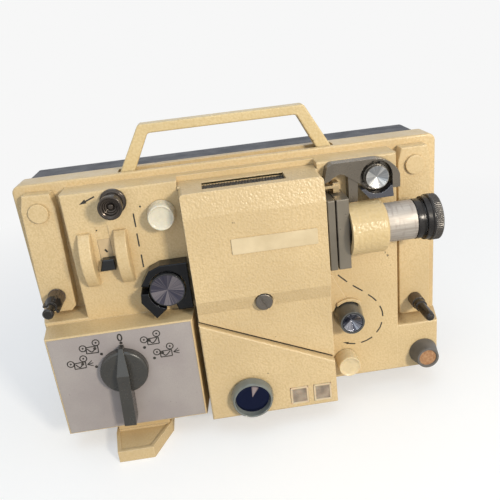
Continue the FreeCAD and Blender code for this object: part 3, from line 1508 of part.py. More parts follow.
def fan_wheel():
    """Cooling fan: a hub disc, blades and a rim ring, on the motor's shaft."""
    x1 = fan_left + fan_length
    solids = [rod_x(motor_y, motor_z, fan_radius, x1 - 2, x1),
              rod_x(motor_y, motor_z, 6, x1 - 12, x1)]
    ring = rod_x(motor_y, motor_z, fan_radius, fan_left, fan_left + 2)
    solids.append(ring.cut(rod_x(motor_y, motor_z, fan_radius - 4, fan_left - 1, fan_left + 3)))
    for i in range(fan_blades):
        blade = block(fan_left, x1, motor_y - fan_blade / 2, motor_y + fan_blade / 2,
                      motor_z + fan_radius - fan_blade_depth, motor_z + fan_radius - 0.5)
        blade.rotate(V(0, motor_y, motor_z), V(1, 0, 0), 360.0 * i / fan_blades)
        solids.append(blade)
    return joined(solids).cut(rod_x(motor_y, motor_z, shaft_radius, x1 - 14, x1 - 4))


def main_shaft():
    """Main shaft with its belt pulley and the worm that turns the sprockets."""
    y = main_shaft_y
    z = main_shaft_z
    shaft = rod_x(y, z, shaft_radius, left_bearing_x - 2, shutter_x + 6)
    worm_left = lower_sprocket_x - worm_length / 2
    profile = [(worm_left, 0), (worm_left, worm_radius)]
    turns = 6
    step = worm_length / turns
    for i in range(turns):
        x = worm_left + i * step
        profile += [(x + step * 0.4, worm_radius), (x + step * 0.5, worm_radius - 1.2),
                    (x + step * 0.9, worm_radius - 1.2), (x + step, worm_radius)]
    profile.append((worm_left + worm_length, 0))
    return joined([shaft, turned_x(y, z, profile), belt_pulley(y, z, main_pulley_radius)])


def shutter():
    """Shutter disc with two open sectors, on a hub."""
    y = main_shaft_y
    z = main_shaft_z
    disc = rod_x(y, z, shutter_radius, shutter_x, shutter_x + shutter_thickness)
    hub = rod_x(y, z, 7, shutter_x - 4, shutter_x + 3)
    window = rod_x(y, z, shutter_radius + 1, shutter_x - 1, shutter_x + 2).cut(
        rod_x(y, z, shutter_radius - 14, shutter_x - 2, shutter_x + 3))
    wedge = plate_yz([(y, z), (y - 60, z + 40), (y - 60, z + 80), (y + 20, z + 80)],
                     shutter_x - 2, shutter_x + 3)
    sector = window.common(wedge)
    other = sector.copy()
    other.rotate(V(0, y, z), V(1, 0, 0), 180)
    return joined([disc.cut([sector, other]), hub]).cut(
        rod_x(y, z, shaft_radius, shutter_x - 5, shutter_x + 5))


def drive_belt():
    """Flat belt from the motor to the main shaft."""
    face = belt_round([(motor_y, motor_z), (main_shaft_y, main_shaft_z)],
                      [motor_pulley_radius, main_pulley_radius], belt_thickness)
    belt = face.extrude(V(0, 0, 5))
    # The belt is drawn in the plane of the first two axes, then stood up across X.
    belt.Placement = FreeCAD.Placement(FreeCAD.Matrix(0, 0, 1, drive_belt_x - 2.5,
                                                      1, 0, 0, 0,
                                                      0, 1, 0, 0,
                                                      0, 0, 0, 1))
    return belt


def timing_belt():
    """Toothed belt round the two sprocket shafts and the inching shaft."""
    centres = [(inching_x, rise(inching_rise)), (upper_sprocket_x, down(upper_sprocket_drop)),
               (lower_sprocket_x, down(lower_sprocket_drop))]
    face = belt_round(centres, [timing_pulley_radius] * 3, belt_thickness)
    belt = face.extrude(V(0, 0, timing_width - 1))
    y1 = rim_y + timing_back + timing_width - 0.5
    belt.Placement = FreeCAD.Placement(FreeCAD.Matrix(1, 0, 0, 0,
                                                      0, 0, -1, y1,
                                                      0, 1, 0, 0,
                                                      0, 0, 0, 1))
    return belt


def lamp():
    """Tubular projection lamp with a round base."""
    low = axis_z - lamp_bulb_length / 2
    y = axis_y
    bulb = rod_z(lamp_x, y, lamp_radius, low, low + lamp_bulb_length)
    bulb = rounded(bulb, lamp_radius - 1, lambda b: abs(b.ZMin - low - lamp_bulb_length) < 0.01)
    base = rod_z(lamp_x, y, lamp_base_radius, low - lamp_base_length, low)
    return joined([bulb, base])


def lamp_holder():
    """Lamp socket, mirror, condenser ring and heat shield on one plate screwed to the deck."""
    low = axis_z - lamp_bulb_length / 2 - lamp_base_length
    y = axis_y
    foot_low = down(opening_low_drop) - 16
    foot_top = down(opening_low_drop) - 1
    solids = [
        block(mirror_x - 3, condenser_x + 4, deck(2), deck_y, foot_low, foot_top),
        block(mirror_x - 3, condenser_x - 4, deck(2), deck(0.5), foot_top - 1,
              axis_z + lamp_bulb_length / 2),
        block(lamp_x - 9, lamp_x + 9, deck(axis_rise + 6), deck(1), low - 12, low + 4),
    ]
    for x in (mirror_x - 0.75, condenser_x - 0.75):
        solids.append(block(x, x + 1.5, deck(axis_rise + 4), deck(1), foot_low, axis_z - 5))
        solids.append(rod_x(y, axis_z, lens_radius + 1, x, x + 1.5))
    holder = joined(solids)
    return holder.cut([
        rod_x(y, axis_z, lens_radius, condenser_x - 3, condenser_x + 3),
        rod_y(coin_screw_x, down(coin_screw_drop), coin_screw_shank + 1, deck(40), deck_y + 1),
        rod_z(lamp_x, y, lamp_base_radius + fit, low, low + 5),
        Part.makeSphere(40, V(mirror_x + 40, y, axis_z)).common(
            rod_x(y, axis_z, lens_radius, mirror_x - 0.5, mirror_x + 3)),
    ])


def condenser():
    """Condenser glass between the lamp and the shutter."""
    return lens(condenser_x, 4.0, lens_radius, 2.4)


def transformer():
    """Mains transformer: laminated core, winding and mounting frame."""
    x0 = -half_width + transformer_inset
    x1 = x0 + transformer_width
    y0 = plate_rear + 1
    y1 = y0 + transformer_depth
    z0 = body_low + transformer_rise
    z1 = z0 + transformer_height
    frame = block(x0 - transformer_frame, x1 + transformer_frame, plate_rear, y0 + 1, z0 + 4, z1 - 4)
    core = block(x0, x1, y0, y1, z0, z1)
    winding = block(x0 + winding_margin, x1 - winding_margin, y0 + winding_margin, y1 - winding_margin,
                    z0 - winding_out, z1 + winding_out)
    winding = rounded(winding, 4, lambda b: b.ZLength > 20)
    return joined([frame, core, winding])


def sound_head():
    """Magnetic sound head on its bracket behind the sound cover."""
    left = head_foot_left
    low = down(head_drop + head_height / 2)
    high = down(head_drop - head_height / 2)
    foot = block(left, left + head_foot_width, deck(head_foot + 1), deck_y, low - head_foot,
                 high + head_foot)
    body = block(left + head_foot, left + head_foot + head_width, deck(head_front), deck(head_foot),
                 low, high)
    nose = rod_y(left + head_width * 0.75, high - 1, head_nose_radius, deck(head_front - 2),
                 deck(head_foot + 3))
    return joined([foot, body, nose])


def amplifier_board():
    """Circuit board with its parts, four spacers and the volume control."""
    y = deck_y + wall + board_back
    x0 = sound_left + board_margin
    x1 = cover_right - 2 * board_margin
    z0 = body_low + board_margin
    z1 = z0 + board_height
    solids = [block(x0, x1, y, y + board_thickness, z0, z1)]
    for x in (x0 + board_margin, x1 - board_margin):
        for z in (z0 + board_margin, z1 - board_margin):
            solids.append(rod_y(x, z, spacer_radius, deck_y + wall, y + 0.5))
    solids.append(rod_y(volume_x, rise(volume_rise), volume_control_radius, deck_y + wall + 1, y + 0.5))
    for place, radius, length in capacitors:
        solids.append(rod_y(x0 + place, z0 + capacitor_rise, radius, y + 1, y + 1 + length))
    sink = x0 + heat_sink_place
    solids.append(block(sink, sink + heat_sink_width, y + 1, y + 1 + heat_sink_depth,
                        z1 - heat_sink_width - heat_sink_height, z1 - heat_sink_width))
    return joined(solids).cut(rod_y(volume_x, rise(volume_rise), shaft_radius + running, deck_y, y - 1))


def mains_inlet():
    """Two-pole mains inlet in the rear cover, with its pins."""
    def slab(extra, y0, y1):
        return block(inlet_x - inlet_width / 2 - extra, inlet_x + inlet_width / 2 + extra, y0, y1,
                     inlet_z - inlet_height / 2 - extra, inlet_z + inlet_height / 2 + extra)
    floor = rear_y - inlet_depth + inlet_floor
    body = slab(0, rear_y - inlet_depth, rear_y)
    flange = slab(inlet_wall, rear_y - rear_wall - inlet_flange, rear_y - rear_wall)
    shape = joined([body, flange]).cut(slab(-inlet_wall, floor, rear_y + 1))
    pins = [rod_y(inlet_x + side * inlet_pin_pitch / 2, inlet_z, inlet_pin_radius, floor - 1,
                  rear_y - inlet_wall) for side in (-1, 1)]
    return joined([shape] + pins)


pieces = {
    "front_housing": front_housing,
    "rear_cover": rear_cover,
    "chassis_plate": chassis_plate,
    "plate_screws": plate_screws,
    "rear_screws": rear_screws,
    "carry_handle": carry_handle,
    "lamp_cover": lamp_cover,
    "name_plate": name_plate,
    "cover_screw": cover_screw,
    "sound_cover": sound_cover,
    "indicator_windows": indicator_windows,
    "control_fascia": control_fascia,
    "selector_knob": selector_knob,
    "selector_switch": selector_switch,
    "volume_knob": volume_knob,
    "framing_knob": framing_knob,
    "inching_knob": inching_knob,
    "format_slider": format_slider,
    "slider_ribs": slider_ribs,
    "entry_roller": entry_roller,
    "arm_pivots": arm_pivots,
    "loop_roller": loop_roller,
    "flywheel": flywheel,
    "upper_sprocket": upper_sprocket,
    "upper_guard": upper_guard,
    "upper_shoe": upper_shoe,
    "film_entry": film_entry,
    "lower_sprocket": lower_sprocket,
    "lower_guard": lower_guard,
    "lower_shoe": lower_shoe,
    "gate_plate": gate_plate,
    "pressure_plate": pressure_plate,
    "lens_carrier": lens_carrier,
    "lens_barrel": lens_barrel,
    "lens_ring": lens_ring,
    "lens_glass": lens_glass,
    "left_arm": left_arm,
    "left_spindle": left_spindle,
    "right_arm": right_arm,
    "right_spindle": right_spindle,
    "tilt_knob": tilt_knob,
    "tilt_foot": tilt_foot,
    "foot_rubber": foot_rubber,
    "front_foot": front_foot,
    "rear_feet": rear_feet,
    "motor": motor,
    "motor_shaft": motor_shaft,
    "fan_wheel": fan_wheel,
    "drive_belt": drive_belt,
    "main_shaft": main_shaft,
    "shutter": shutter,
    "timing_belt": timing_belt,
    "lamp": lamp,
    "lamp_holder": lamp_holder,
    "condenser": condenser,
    "transformer": transformer,
    "sound_head": sound_head,
    "amplifier_board": amplifier_board,
    "mains_inlet": mains_inlet,
}

os.makedirs("parts", exist_ok=True)
for name, build in pieces.items():
    shape = build()
    shape.exportStep(f"parts/{name}.step")
    print(f"{name}: {len(shape.Solids)} solid(s), {shape.Volume / 1000:.2f} cm3, valid {shape.isValid()}")
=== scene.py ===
import math
import json

import bpy
import numpy as np
from mathutils import Matrix, Vector

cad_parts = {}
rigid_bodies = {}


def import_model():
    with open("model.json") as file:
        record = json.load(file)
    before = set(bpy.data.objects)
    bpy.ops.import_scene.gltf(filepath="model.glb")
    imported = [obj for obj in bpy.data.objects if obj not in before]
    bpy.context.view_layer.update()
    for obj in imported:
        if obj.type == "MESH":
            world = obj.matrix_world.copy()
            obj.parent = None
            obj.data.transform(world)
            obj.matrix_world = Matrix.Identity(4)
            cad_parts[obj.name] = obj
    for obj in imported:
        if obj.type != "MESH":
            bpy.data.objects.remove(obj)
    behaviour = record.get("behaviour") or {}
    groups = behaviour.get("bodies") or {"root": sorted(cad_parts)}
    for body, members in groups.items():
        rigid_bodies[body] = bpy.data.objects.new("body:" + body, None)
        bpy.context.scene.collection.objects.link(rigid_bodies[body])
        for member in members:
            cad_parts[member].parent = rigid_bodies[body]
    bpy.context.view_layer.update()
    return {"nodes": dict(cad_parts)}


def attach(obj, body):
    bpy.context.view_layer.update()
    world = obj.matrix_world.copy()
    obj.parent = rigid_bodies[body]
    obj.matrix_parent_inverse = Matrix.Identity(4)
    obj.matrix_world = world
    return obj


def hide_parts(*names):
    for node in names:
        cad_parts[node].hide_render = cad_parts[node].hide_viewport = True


for left_over in list(bpy.data.objects):
    bpy.data.objects.remove(left_over)
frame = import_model()
nodes = frame["nodes"]

# Where the projector is looked at and lit: a pale floor and white air behind it, a warm key lamp
# at the front right, a broad soft one at the front left and a cool one above, as on a
# photographer's table.
MM = 0.001

camera = bpy.data.objects.new("camera", bpy.data.cameras.new("camera"))
bpy.context.scene.collection.objects.link(camera)
camera.data.lens, camera.data.sensor_width = 40.72, 36.0
camera.matrix_world = Matrix((      # columns: its right, its up, its back and its place
    (0.98946665, 0.13581125, -0.05011036, -0.01358),
    (-0.0966625, 0.36217791, -0.92708334, -0.44533),
    (-0.10775948, 0.92216184, 0.37149082, 0.31052),
    (0, 0, 0, 1)))
bpy.context.scene.camera = camera


def lamp(name, place, aim, size, watts, colour):
    """A square soft box at a place, turned to face the aim."""
    light = bpy.data.lights.new(name, "AREA")
    light.size, light.energy, light.color = size, watts, colour
    stand = bpy.data.objects.new(name, light)
    bpy.context.scene.collection.objects.link(stand)
    stand.matrix_world = Matrix.Translation(place) @ (
        Vector(aim) - Vector(place)).to_track_quat("-Z", "Y").to_matrix().to_4x4()


lamp("key_lamp", (0.70, -1.18, 0.64), (0, -0.03, 0.11), 0.20, 14.3, (1.0, 0.925, 0.79))
lamp("fill_lamp", (-0.35, -1.3, 0.5), (0, 0, 0.1), 1.0, 1.5, (0.64, 0.84, 1.0))
lamp("top_lamp", (-0.10, -0.45, 1.25), (0, 0, 0.15), 0.8, 2.6, (0.55, 0.78, 1.0))


class Finish:
    """One finish: a Principled shader, and short calls for the nodes that vary it."""

    def __init__(self, name, colour, roughness=0.5, metallic=0.0, sockets=()):
        self.material = bpy.data.materials.new(name)
        self.material.use_nodes = True
        self.tree = self.material.node_tree
        self.shader = self.tree.nodes["Principled BSDF"]
        plain = {"Base Color": (*colour, 1), "Roughness": roughness, "Metallic": metallic}
        for socket, value in {**plain, **dict(sockets)}.items():
            self.shader.inputs[socket].default_value = value
        self.place = self.add("TexCoord").outputs["Object"]

    def add(self, kind, sockets=(), **settings):
        """A new node; each socket that is named takes a value, or a link from another node."""
        node = self.tree.nodes.new("ShaderNode" + kind)
        for name, value in settings.items():
            setattr(node, name, value)
        for key, value in dict(sockets).items():
            if isinstance(value, bpy.types.NodeSocket):
                self.tree.links.new(value, node.inputs[key])
            else:
                node.inputs[key].default_value = value
        return node

    def stretched(self, scale):
        """The place scaled apart along each axis, for a grain that runs one way."""
        return self.add("Mapping", {"Vector": self.place, "Scale": scale}).outputs[0]

    def noise(self, scale, detail=3.0, where=None):
        return self.add("TexNoise", {"Vector": where or self.place, "Scale": scale,
                                     "Detail": detail}).outputs["Fac"]

    def cells(self, scale, feature="F1", where=None):
        return self.add("TexVoronoi", {"Vector": where or self.place, "Scale": scale},
                        feature=feature).outputs["Distance"]

    def between(self, value, low, high, to_low=0.0, to_high=1.0):
        """The value's share of the way from low to high, held to 0 and 1, then spread."""
        return self.add("MapRange", {"Value": value, "From Min": low, "From Max": high,
                                     "To Min": to_low, "To Max": to_high}).outputs[0]

    def maths(self, how, *values):
        return self.add("Math", dict(enumerate(values)), operation=how).outputs[0]

    def sum(self, first, second):
        return self.maths("ADD", first, second)

    def times(self, first, second):
        return self.maths("MULTIPLY", first, second)

    def mix(self, share, first, second):
        colours = [c if isinstance(c, bpy.types.NodeSocket) else (*c, 1) for c in (first, second)]
        return self.add("Mix", {0: share, 6: colours[0], 7: colours[1]},
                        data_type="RGBA").outputs[2]

    def clouds(self, scale, first, second, detail=4):
        """Two colours that run into each other in soft clouds."""
        return self.mix(self.between(self.noise(scale, detail), 0.35, 0.68), first, second)

    def patchy(self, scale, low, high, detail=3):
        """A number that wanders from low to high in patches."""
        return self.between(self.noise(scale, detail), 0.3, 0.7, low, high)

    def edges(self, radius, sharp=0.93):
        """1 along edges and 0 on flats: how far the rounded normal leans from the true one."""
        rounded = self.add("Bevel", {"Radius": radius}, samples=6).outputs[0]
        true = self.add("NewGeometry").outputs["Normal"]
        lean = self.add("VectorMath", {0: rounded, 1: true}, operation="DOT_PRODUCT")
        return rounded, self.between(lean.outputs["Value"], 0.995, sharp)

    def out_from(self, x, z):
        """From an axis along Y through (x, z): the way out, the distance in metres, and the
        height along Y. The way is a unit vector, so a noise of it has no seam."""
        off = self.add("VectorMath", {0: self.place, 1: (x * MM, 0, z * MM)},
                       operation="SUBTRACT").outputs[0]
        flat = self.add("VectorMath", {0: off, 1: (1, 0, 1)}, operation="MULTIPLY").outputs[0]
        way = self.add("VectorMath", {0: flat}, operation="NORMALIZE").outputs[0]
        far = self.add("VectorMath", {0: flat}, operation="LENGTH").outputs["Value"]
        return way, far, self.add("SeparateXYZ", {0: off}).outputs[1]

    def painted_crease_shade(self, reach):
        """1 deep in corners and 0 in the open, from ambient occlusion: the mask for painted shade.
        """
        open_sky = self.add("AmbientOcclusion", {"Distance": reach}, samples=6).outputs["AO"]
        return self.between(open_sky, 0.75, 0.25)

    def bump(self, height, depth, normal=None, strength=1.0):
        sockets = {"Height": height, "Distance": depth, "Strength": strength}
        if normal:
            sockets["Normal"] = normal
        return self.add("Bump", sockets).outputs[0]

    def set(self, **sources):
        """Each source is led to its socket of the shader."""
        names = {"colour": "Base Color", "roughness": "Roughness", "normal": "Normal",
                 "tangent": "Tangent"}
        for name, source in sources.items():
            self.tree.links.new(source, self.shader.inputs[names[name]])

    def dress(self, *names):
        """The named pieces of the frame take this finish."""
        for name in names:
            for place in nodes[name].material_slots:
                place.material = self.material


FLOOR_HALF = 6
FADE_FROM, FADE_TO = 0.30, 0.75     # metres from the middle, over which the floor turns to air
PAPER_LIFT = 0.42                   # how much paler the floor is to the camera alone
WHITE_AIR = (0.93, 0.93, 0.93, 1)

floor_mesh = bpy.data.meshes.new("floor")
floor_mesh.from_pydata([(x * FLOOR_HALF, y * FLOOR_HALF, 0) for x, y in (
    (-1, -1), (1, -1), (1, 1), (-1, 1))], [], [(0, 1, 2, 3)])
floor = bpy.data.objects.new("floor", floor_mesh)
bpy.context.scene.collection.objects.link(floor)
paper = Finish("floor_paper", (0.60, 0.60, 0.60), 0.85, sockets={"Emission Color": (1, 1, 1, 1)})
distance = paper.add("VectorMath", {0: paper.place}, operation="LENGTH").outputs["Value"]
seen = paper.add("LightPath").outputs
fade = paper.times(paper.between(distance, FADE_FROM, FADE_TO), seen["Is Camera Ray"])
glow = paper.add("Emission", {"Color": WHITE_AIR}).outputs[0]
faded = paper.add("MixShader", {0: fade, 1: paper.shader.outputs[0], 2: glow}).outputs[0]
paper.tree.links.new(faded, paper.tree.nodes["Material Output"].inputs["Surface"])
paper.tree.links.new(paper.times(seen["Is Camera Ray"], PAPER_LIFT),
                     paper.shader.inputs["Emission Strength"])
paper.set(roughness=paper.between(paper.noise(60), 0, 1, 0.8, 0.9))
floor_mesh.materials.append(paper.material)

world = bpy.data.worlds.new("air")
bpy.context.scene.world = world
world.use_nodes = True
air = world.node_tree
seen = air.nodes.new("ShaderNodeLightPath").outputs
white = None
for ray in ("Is Camera Ray", "Is Glossy Ray", "Is Transmission Ray"):
    either = air.nodes.new("ShaderNodeMath")
    either.operation = "MAXIMUM"
    air.links.new(seen[ray], either.inputs[0])
    if white:
        air.links.new(white, either.inputs[1])
    white = either.outputs[0]
tint = air.nodes.new("ShaderNodeMix")
tint.data_type = "RGBA"
tint.inputs[6].default_value = (0.11, 0.125, 0.15, 1)
tint.inputs[7].default_value = WHITE_AIR
air.links.new(white, tint.inputs[0])
air.links.new(tint.outputs[2], air.nodes["Background"].inputs["Color"])
bpy.context.scene.view_settings.view_transform = "Standard"

# Housing, handle, covers, arms and foot: pressure castings in cream hammer enamel. The paint
# draws up into small round dimples, pale on the crowns. Its sharp edges are painted paler, partly
# wear and partly painted highlight, and its corners darker with painted shade.
ENAMEL = (0.67, 0.507, 0.280)
BEND = 0.9 * MM


def shade(colour, *by):
    """The colour times one number, or times one each for red, green and blue, held to 1."""
    return tuple(min(1, c * k) for c, k in zip(colour, by if len(by) > 1 else by * 3))


def hammer_enamel(name, base=ENAMEL, dimple=1.4, depth=0.22, chips=True):
    """Dimples are rounded Voronoi cells of the given width, bent by noise so that they run into
    each other; slow noise lays a warmer and a cooler cloud over the paint."""
    coat = Finish(name, base, 0.34, sockets={"Specular IOR Level": 0.5})
    bend = coat.add("TexNoise", {"Vector": coat.place, "Scale": 420.0}).outputs["Color"]
    bent = coat.add("VectorMath", {0: bend, 1: (BEND,) * 3, 2: coat.place},
                    operation="MULTIPLY_ADD").outputs[0]
    pits = coat.cells(1000 / dimple, "SMOOTH_F1", bent)
    rounded, edge = coat.edges(0.6 * MM)
    body = coat.mix(coat.between(coat.noise(14, 4), 0.36, 0.66), shade(base, 0.90, 0.89, 0.88),
                    shade(base, 1.05, 1.05, 1.06))
    body = coat.mix(coat.between(pits, 0.28, 0.62, 0.0, 0.5), body, shade(base, 0.84, 0.80, 0.70))
    # Edges paler: partly worn paint, partly painted highlight.
    body = coat.mix(coat.times(edge, 0.75), body, shade(base, 1.28, 1.36, 1.55))
    # Painted shade: corners and seams darkened towards brown.
    body = coat.mix(coat.times(coat.painted_crease_shade(1.4 * MM), 0.5), body, (0.20, 0.14, 0.08))
    if chips:
        spots = coat.times(coat.between(coat.noise(170, 3), 0.735, 0.76),
                           coat.between(coat.noise(45, 2), 0.50, 0.60))
        body = coat.mix(coat.times(spots, 0.85), body, (0.10, 0.075, 0.05))
    height = coat.sum(coat.times(pits, -1.0), coat.times(coat.noise(850 / dimple, 2), 0.7))
    coat.set(colour=body, normal=coat.bump(height, depth * MM, rounded),
             roughness=coat.patchy(90, 0.28, 0.42))
    return coat


housing_enamel = hammer_enamel("housing_enamel")
housing_enamel.dress("front_housing", "left_arm", "right_arm", "slider_ribs", "front_foot")
cover_enamel = hammer_enamel("cover_enamel", (0.66, 0.497, 0.275), 1.5, 0.36)
cover_enamel.dress("lamp_cover", "sound_cover")
hammer_enamel("handle_enamel", (0.68, 0.53, 0.285), 1.6, 0.2).dress("carry_handle")
hammer_enamel("carrier_enamel", (0.67, 0.51, 0.27), 1.9, 0.36, False).dress("lens_carrier")
hammer_enamel("small_cast_enamel", ENAMEL, 1.2, 0.1, False).dress("arm_pivots")

# Plate on the lamp house cover: a thin plain pressing, cemented on. It is sprayed without the
# hammer finish, so it lies smooth and shines a little flatter.
plate_satin = Finish("plate_satin", (0.66, 0.53, 0.335), 0.42)
plate_satin.set(colour=plate_satin.clouds(70, (0.60, 0.475, 0.29), (0.70, 0.565, 0.36)),
                normal=plate_satin.bump(plate_satin.noise(900, 3), 0.03 * MM,
                                        plate_satin.edges(0.4 * MM)[0]),
                roughness=plate_satin.patchy(120, 0.36, 0.5))
plate_satin.dress("name_plate")

# Rear cover: a deep-drawn steel box in dark slate crackle paint. It closes the back of the
# casting and is held by four screws.
slate = Finish("slate_paint", (0.024, 0.030, 0.045), 0.5, sockets={"Specular IOR Level": 0.45})
wrinkle = slate.sum(slate.cells(620, "SMOOTH_F1"), slate.times(slate.noise(900, 3), 0.5))
rounded, edge = slate.edges(0.6 * MM)
dull = slate.mix(slate.between(slate.noise(24, 4), 0.35, 0.7), (0.018, 0.023, 0.036),
                 (0.034, 0.041, 0.058))
# Edges paler grey: partly worn paint, partly painted highlight.
slate.set(colour=slate.mix(slate.times(edge, 0.45), dull, (0.13, 0.14, 0.16)),
          normal=slate.bump(wrinkle, 0.18 * MM, rounded),
          roughness=slate.patchy(70, 0.42, 0.6))
slate.dress("rear_cover")

# Screws, tilting foot, fan, lamp holder and sound head: turned or stamped from steel and plated
# with zinc, dull with a cloudy spangle.
zinc = Finish("zinc_plate", (0.55, 0.56, 0.57), 0.38, 1.0)
spangle = zinc.cells(260)
zinc.set(colour=zinc.mix(zinc.between(spangle, 0.1, 0.8), (0.50, 0.51, 0.53), (0.66, 0.67, 0.68)),
         roughness=zinc.patchy(240, 0.28, 0.5, 4),
         normal=zinc.bump(zinc.noise(900, 2), 0.03 * MM, zinc.edges(0.3 * MM)[0]))
zinc.dress("plate_screws", "rear_screws", "tilt_foot", "fan_wheel", "lamp_holder", "sound_head")


# Turned steel pieces: coin screw, shafts and flywheel. Fine rings from the lathe run round the
# axis that points at the reader.
def turned_metal(name, colour, roughness, pitch=0.35, centre=(0, 0), metallic=1.0):
    """Rings are a noise of one number, the distance from the axis over the pitch in mm."""
    metal = Finish(name, colour, roughness, metallic)
    here = metal.add("Mapping", {"Vector": metal.place, "Scale": (1, 0, 1), "Location":
                                 (-centre[0] * MM, 0, -centre[1] * MM)}).outputs[0]
    out = metal.add("VectorMath", {0: here}, operation="LENGTH").outputs["Value"]
    rings = metal.add("TexNoise", {"W": metal.times(out, 1 / (pitch * MM)),
                                   "Scale": 1.0, "Detail": 2.0}, noise_dimensions="1D")
    rings = rings.outputs["Fac"]
    rounded, edge = metal.edges(0.3 * MM)
    body = metal.mix(metal.between(rings, 0.3, 0.7), shade(colour, 0.72), shade(colour, 1.25))
    # Edges paler: partly wear, partly painted highlight.
    body = metal.mix(metal.times(edge, 0.5), body, shade(colour, 1.5))
    metal.set(colour=body, normal=metal.bump(rings, 0.025 * MM, rounded),
              roughness=metal.patchy(300, roughness * 0.8, roughness * 1.25))
    return metal


turned_metal("coin_screw_steel", (0.21, 0.185, 0.16), 0.36, 0.5, (13, 115.5)).dress("cover_screw")
turned_metal("shaft_steel", (0.45, 0.44, 0.43), 0.3, 0.4).dress(
    "flywheel", "motor_shaft", "main_shaft")

# Fascia: a thin aluminium sheet, satin silver and spotted with age. It is cemented to the control
# box round the selector and carries the signs.
silver = Finish("fascia_silver", (0.36, 0.32, 0.30), 0.40, 0.0, {"Specular IOR Level": 0.6})
speck = silver.between(silver.noise(420, 3), 0.70, 0.76)
satin = silver.clouds(30, (0.34, 0.295, 0.285), (0.40, 0.355, 0.335))
satin = silver.mix(silver.between(silver.noise(1600, 2), 0.35, 0.7, 0, 0.35), satin,
                   (0.26, 0.235, 0.225))
satin = silver.mix(silver.times(speck, 0.7), satin, (0.15, 0.13, 0.12))
silver.set(colour=satin, normal=silver.bump(silver.noise(1700, 2), 0.03 * MM,
                                            silver.edges(0.25 * MM)[0]),
           roughness=silver.patchy(55, 0.32, 0.52, 4))
silver.dress("control_fascia")


# Moulded pieces: knobs, slider, socket and switch of coloured plastic, rollers of smoked plastic,
# feet and belts of rubber. Circuit board, motor and transformer are dipped in varnish.
def moulded(name, colour, roughness=0.35, edge_wear_and_highlight=0.25, grain=1.0, sockets=()):
    """Slow clouds in the colour, a fine skin from the mould, edges painted paler (partly rubbed,
    partly painted highlight) and corners darkened with painted shade.
    """
    plastic = Finish(name, colour, roughness, sockets=sockets)
    rounded, edge = plastic.edges(0.35 * MM)
    pale = tuple(min(1, c * 1.3 + 0.02) for c in colour)
    body = plastic.clouds(85, shade(colour, 0.84), colour)
    # Edges paler: partly rubbed, partly painted highlight.
    body = plastic.mix(plastic.times(edge, edge_wear_and_highlight), body, pale)
    # Painted shade in corners.
    body = plastic.mix(plastic.times(plastic.painted_crease_shade(2.0 * MM), 0.45), body, shade(colour, 0.35))
    plastic.set(colour=body,
                normal=plastic.bump(plastic.noise(1300, 2), 0.02 * grain * MM, rounded),
                roughness=plastic.patchy(190, roughness * 0.8, min(1, roughness * 1.3), 4))
    return plastic


moulded("selector_grey", (0.042, 0.039, 0.034), 0.24, 0.45, grain=2, sockets={
    "Specular IOR Level": 0.7}).dress("selector_knob")
moulded("gloss_black", (0.010, 0.010, 0.011), 0.2, 0.3).dress(
    "selector_switch", "format_slider", "lens_ring", "mains_inlet")
moulded("smoked_roller", (0.075, 0.076, 0.072), 0.16, 0.55, sockets={
    "Coat Weight": 0.4}).dress("loop_roller")
moulded("smoked_sprocket", (0.04, 0.04, 0.043), 0.22, 0.35).dress("lower_sprocket")
moulded("foot_rubber", (0.22, 0.16, 0.11), 0.65, 0.2, grain=4).dress("foot_rubber")
moulded("black_rubber", (0.02, 0.02, 0.02), 0.7, 0.2, grain=3).dress(
    "rear_feet", "drive_belt", "timing_belt")
moulded("circuit_board", (0.12, 0.16, 0.05), 0.45, 0.2).dress("amplifier_board")
moulded("coil_iron", (0.14, 0.13, 0.12), 0.5, 0.5, grain=4).dress("motor", "transformer")

# Windows in the sound head cover: moulded milky caps with a pale raised border and a pebbled
# middle that is darker and clouded, snapped in from behind.
WINDOWS_X, WINDOWS_Z = (33.0, 51.8), 29.5
WINDOW_HALF_WIDE, WINDOW_HALF_HIGH = 7.1 * MM, 7.5 * MM

milk = Finish("window_milk", (0.36, 0.27, 0.18), 0.3, sockets={"Subsurface Weight": 0.1,
                                                               "Subsurface Scale": 0.002})
spot = milk.add("SeparateXYZ", {0: milk.place}).outputs
beside = [milk.maths("ABSOLUTE", milk.times(milk.sum(spot[0], -x * MM), 1 / WINDOW_HALF_WIDE))
          for x in WINDOWS_X]
above = milk.maths("ABSOLUTE", milk.times(milk.sum(spot[2], -WINDOWS_Z * MM),
                                           1 / WINDOW_HALF_HIGH))
border = milk.between(milk.maths("MAXIMUM", milk.maths("MINIMUM", *beside), above), 0.74, 0.84)
clouded_middle = milk.mix(milk.between(milk.noise(130, 4), 0.35, 0.66), (0.21, 0.165, 0.125),
                 (0.38, 0.30, 0.225))
pebbles = milk.cells(900, "SMOOTH_F1")
milk.set(colour=milk.mix(border, clouded_middle, (0.66, 0.52, 0.34)),
         normal=milk.bump(milk.sum(milk.times(pebbles, -0.5), milk.times(border, 4.0)),
                          0.14 * MM, milk.edges(0.4 * MM)[0]),
         roughness=milk.patchy(200, 0.25, 0.42))
milk.dress("indicator_windows")

# Tilt knob: a grey-brown moulding, pushed on to the shaft that drives the foot out, with a dark
# lip round a pebbled copper-coloured cap.
TILT_KNOB = (146.5, 33.5)
CAP_RADIUS = 7.3 * MM
KNOB_FRONT = -49.6 * MM

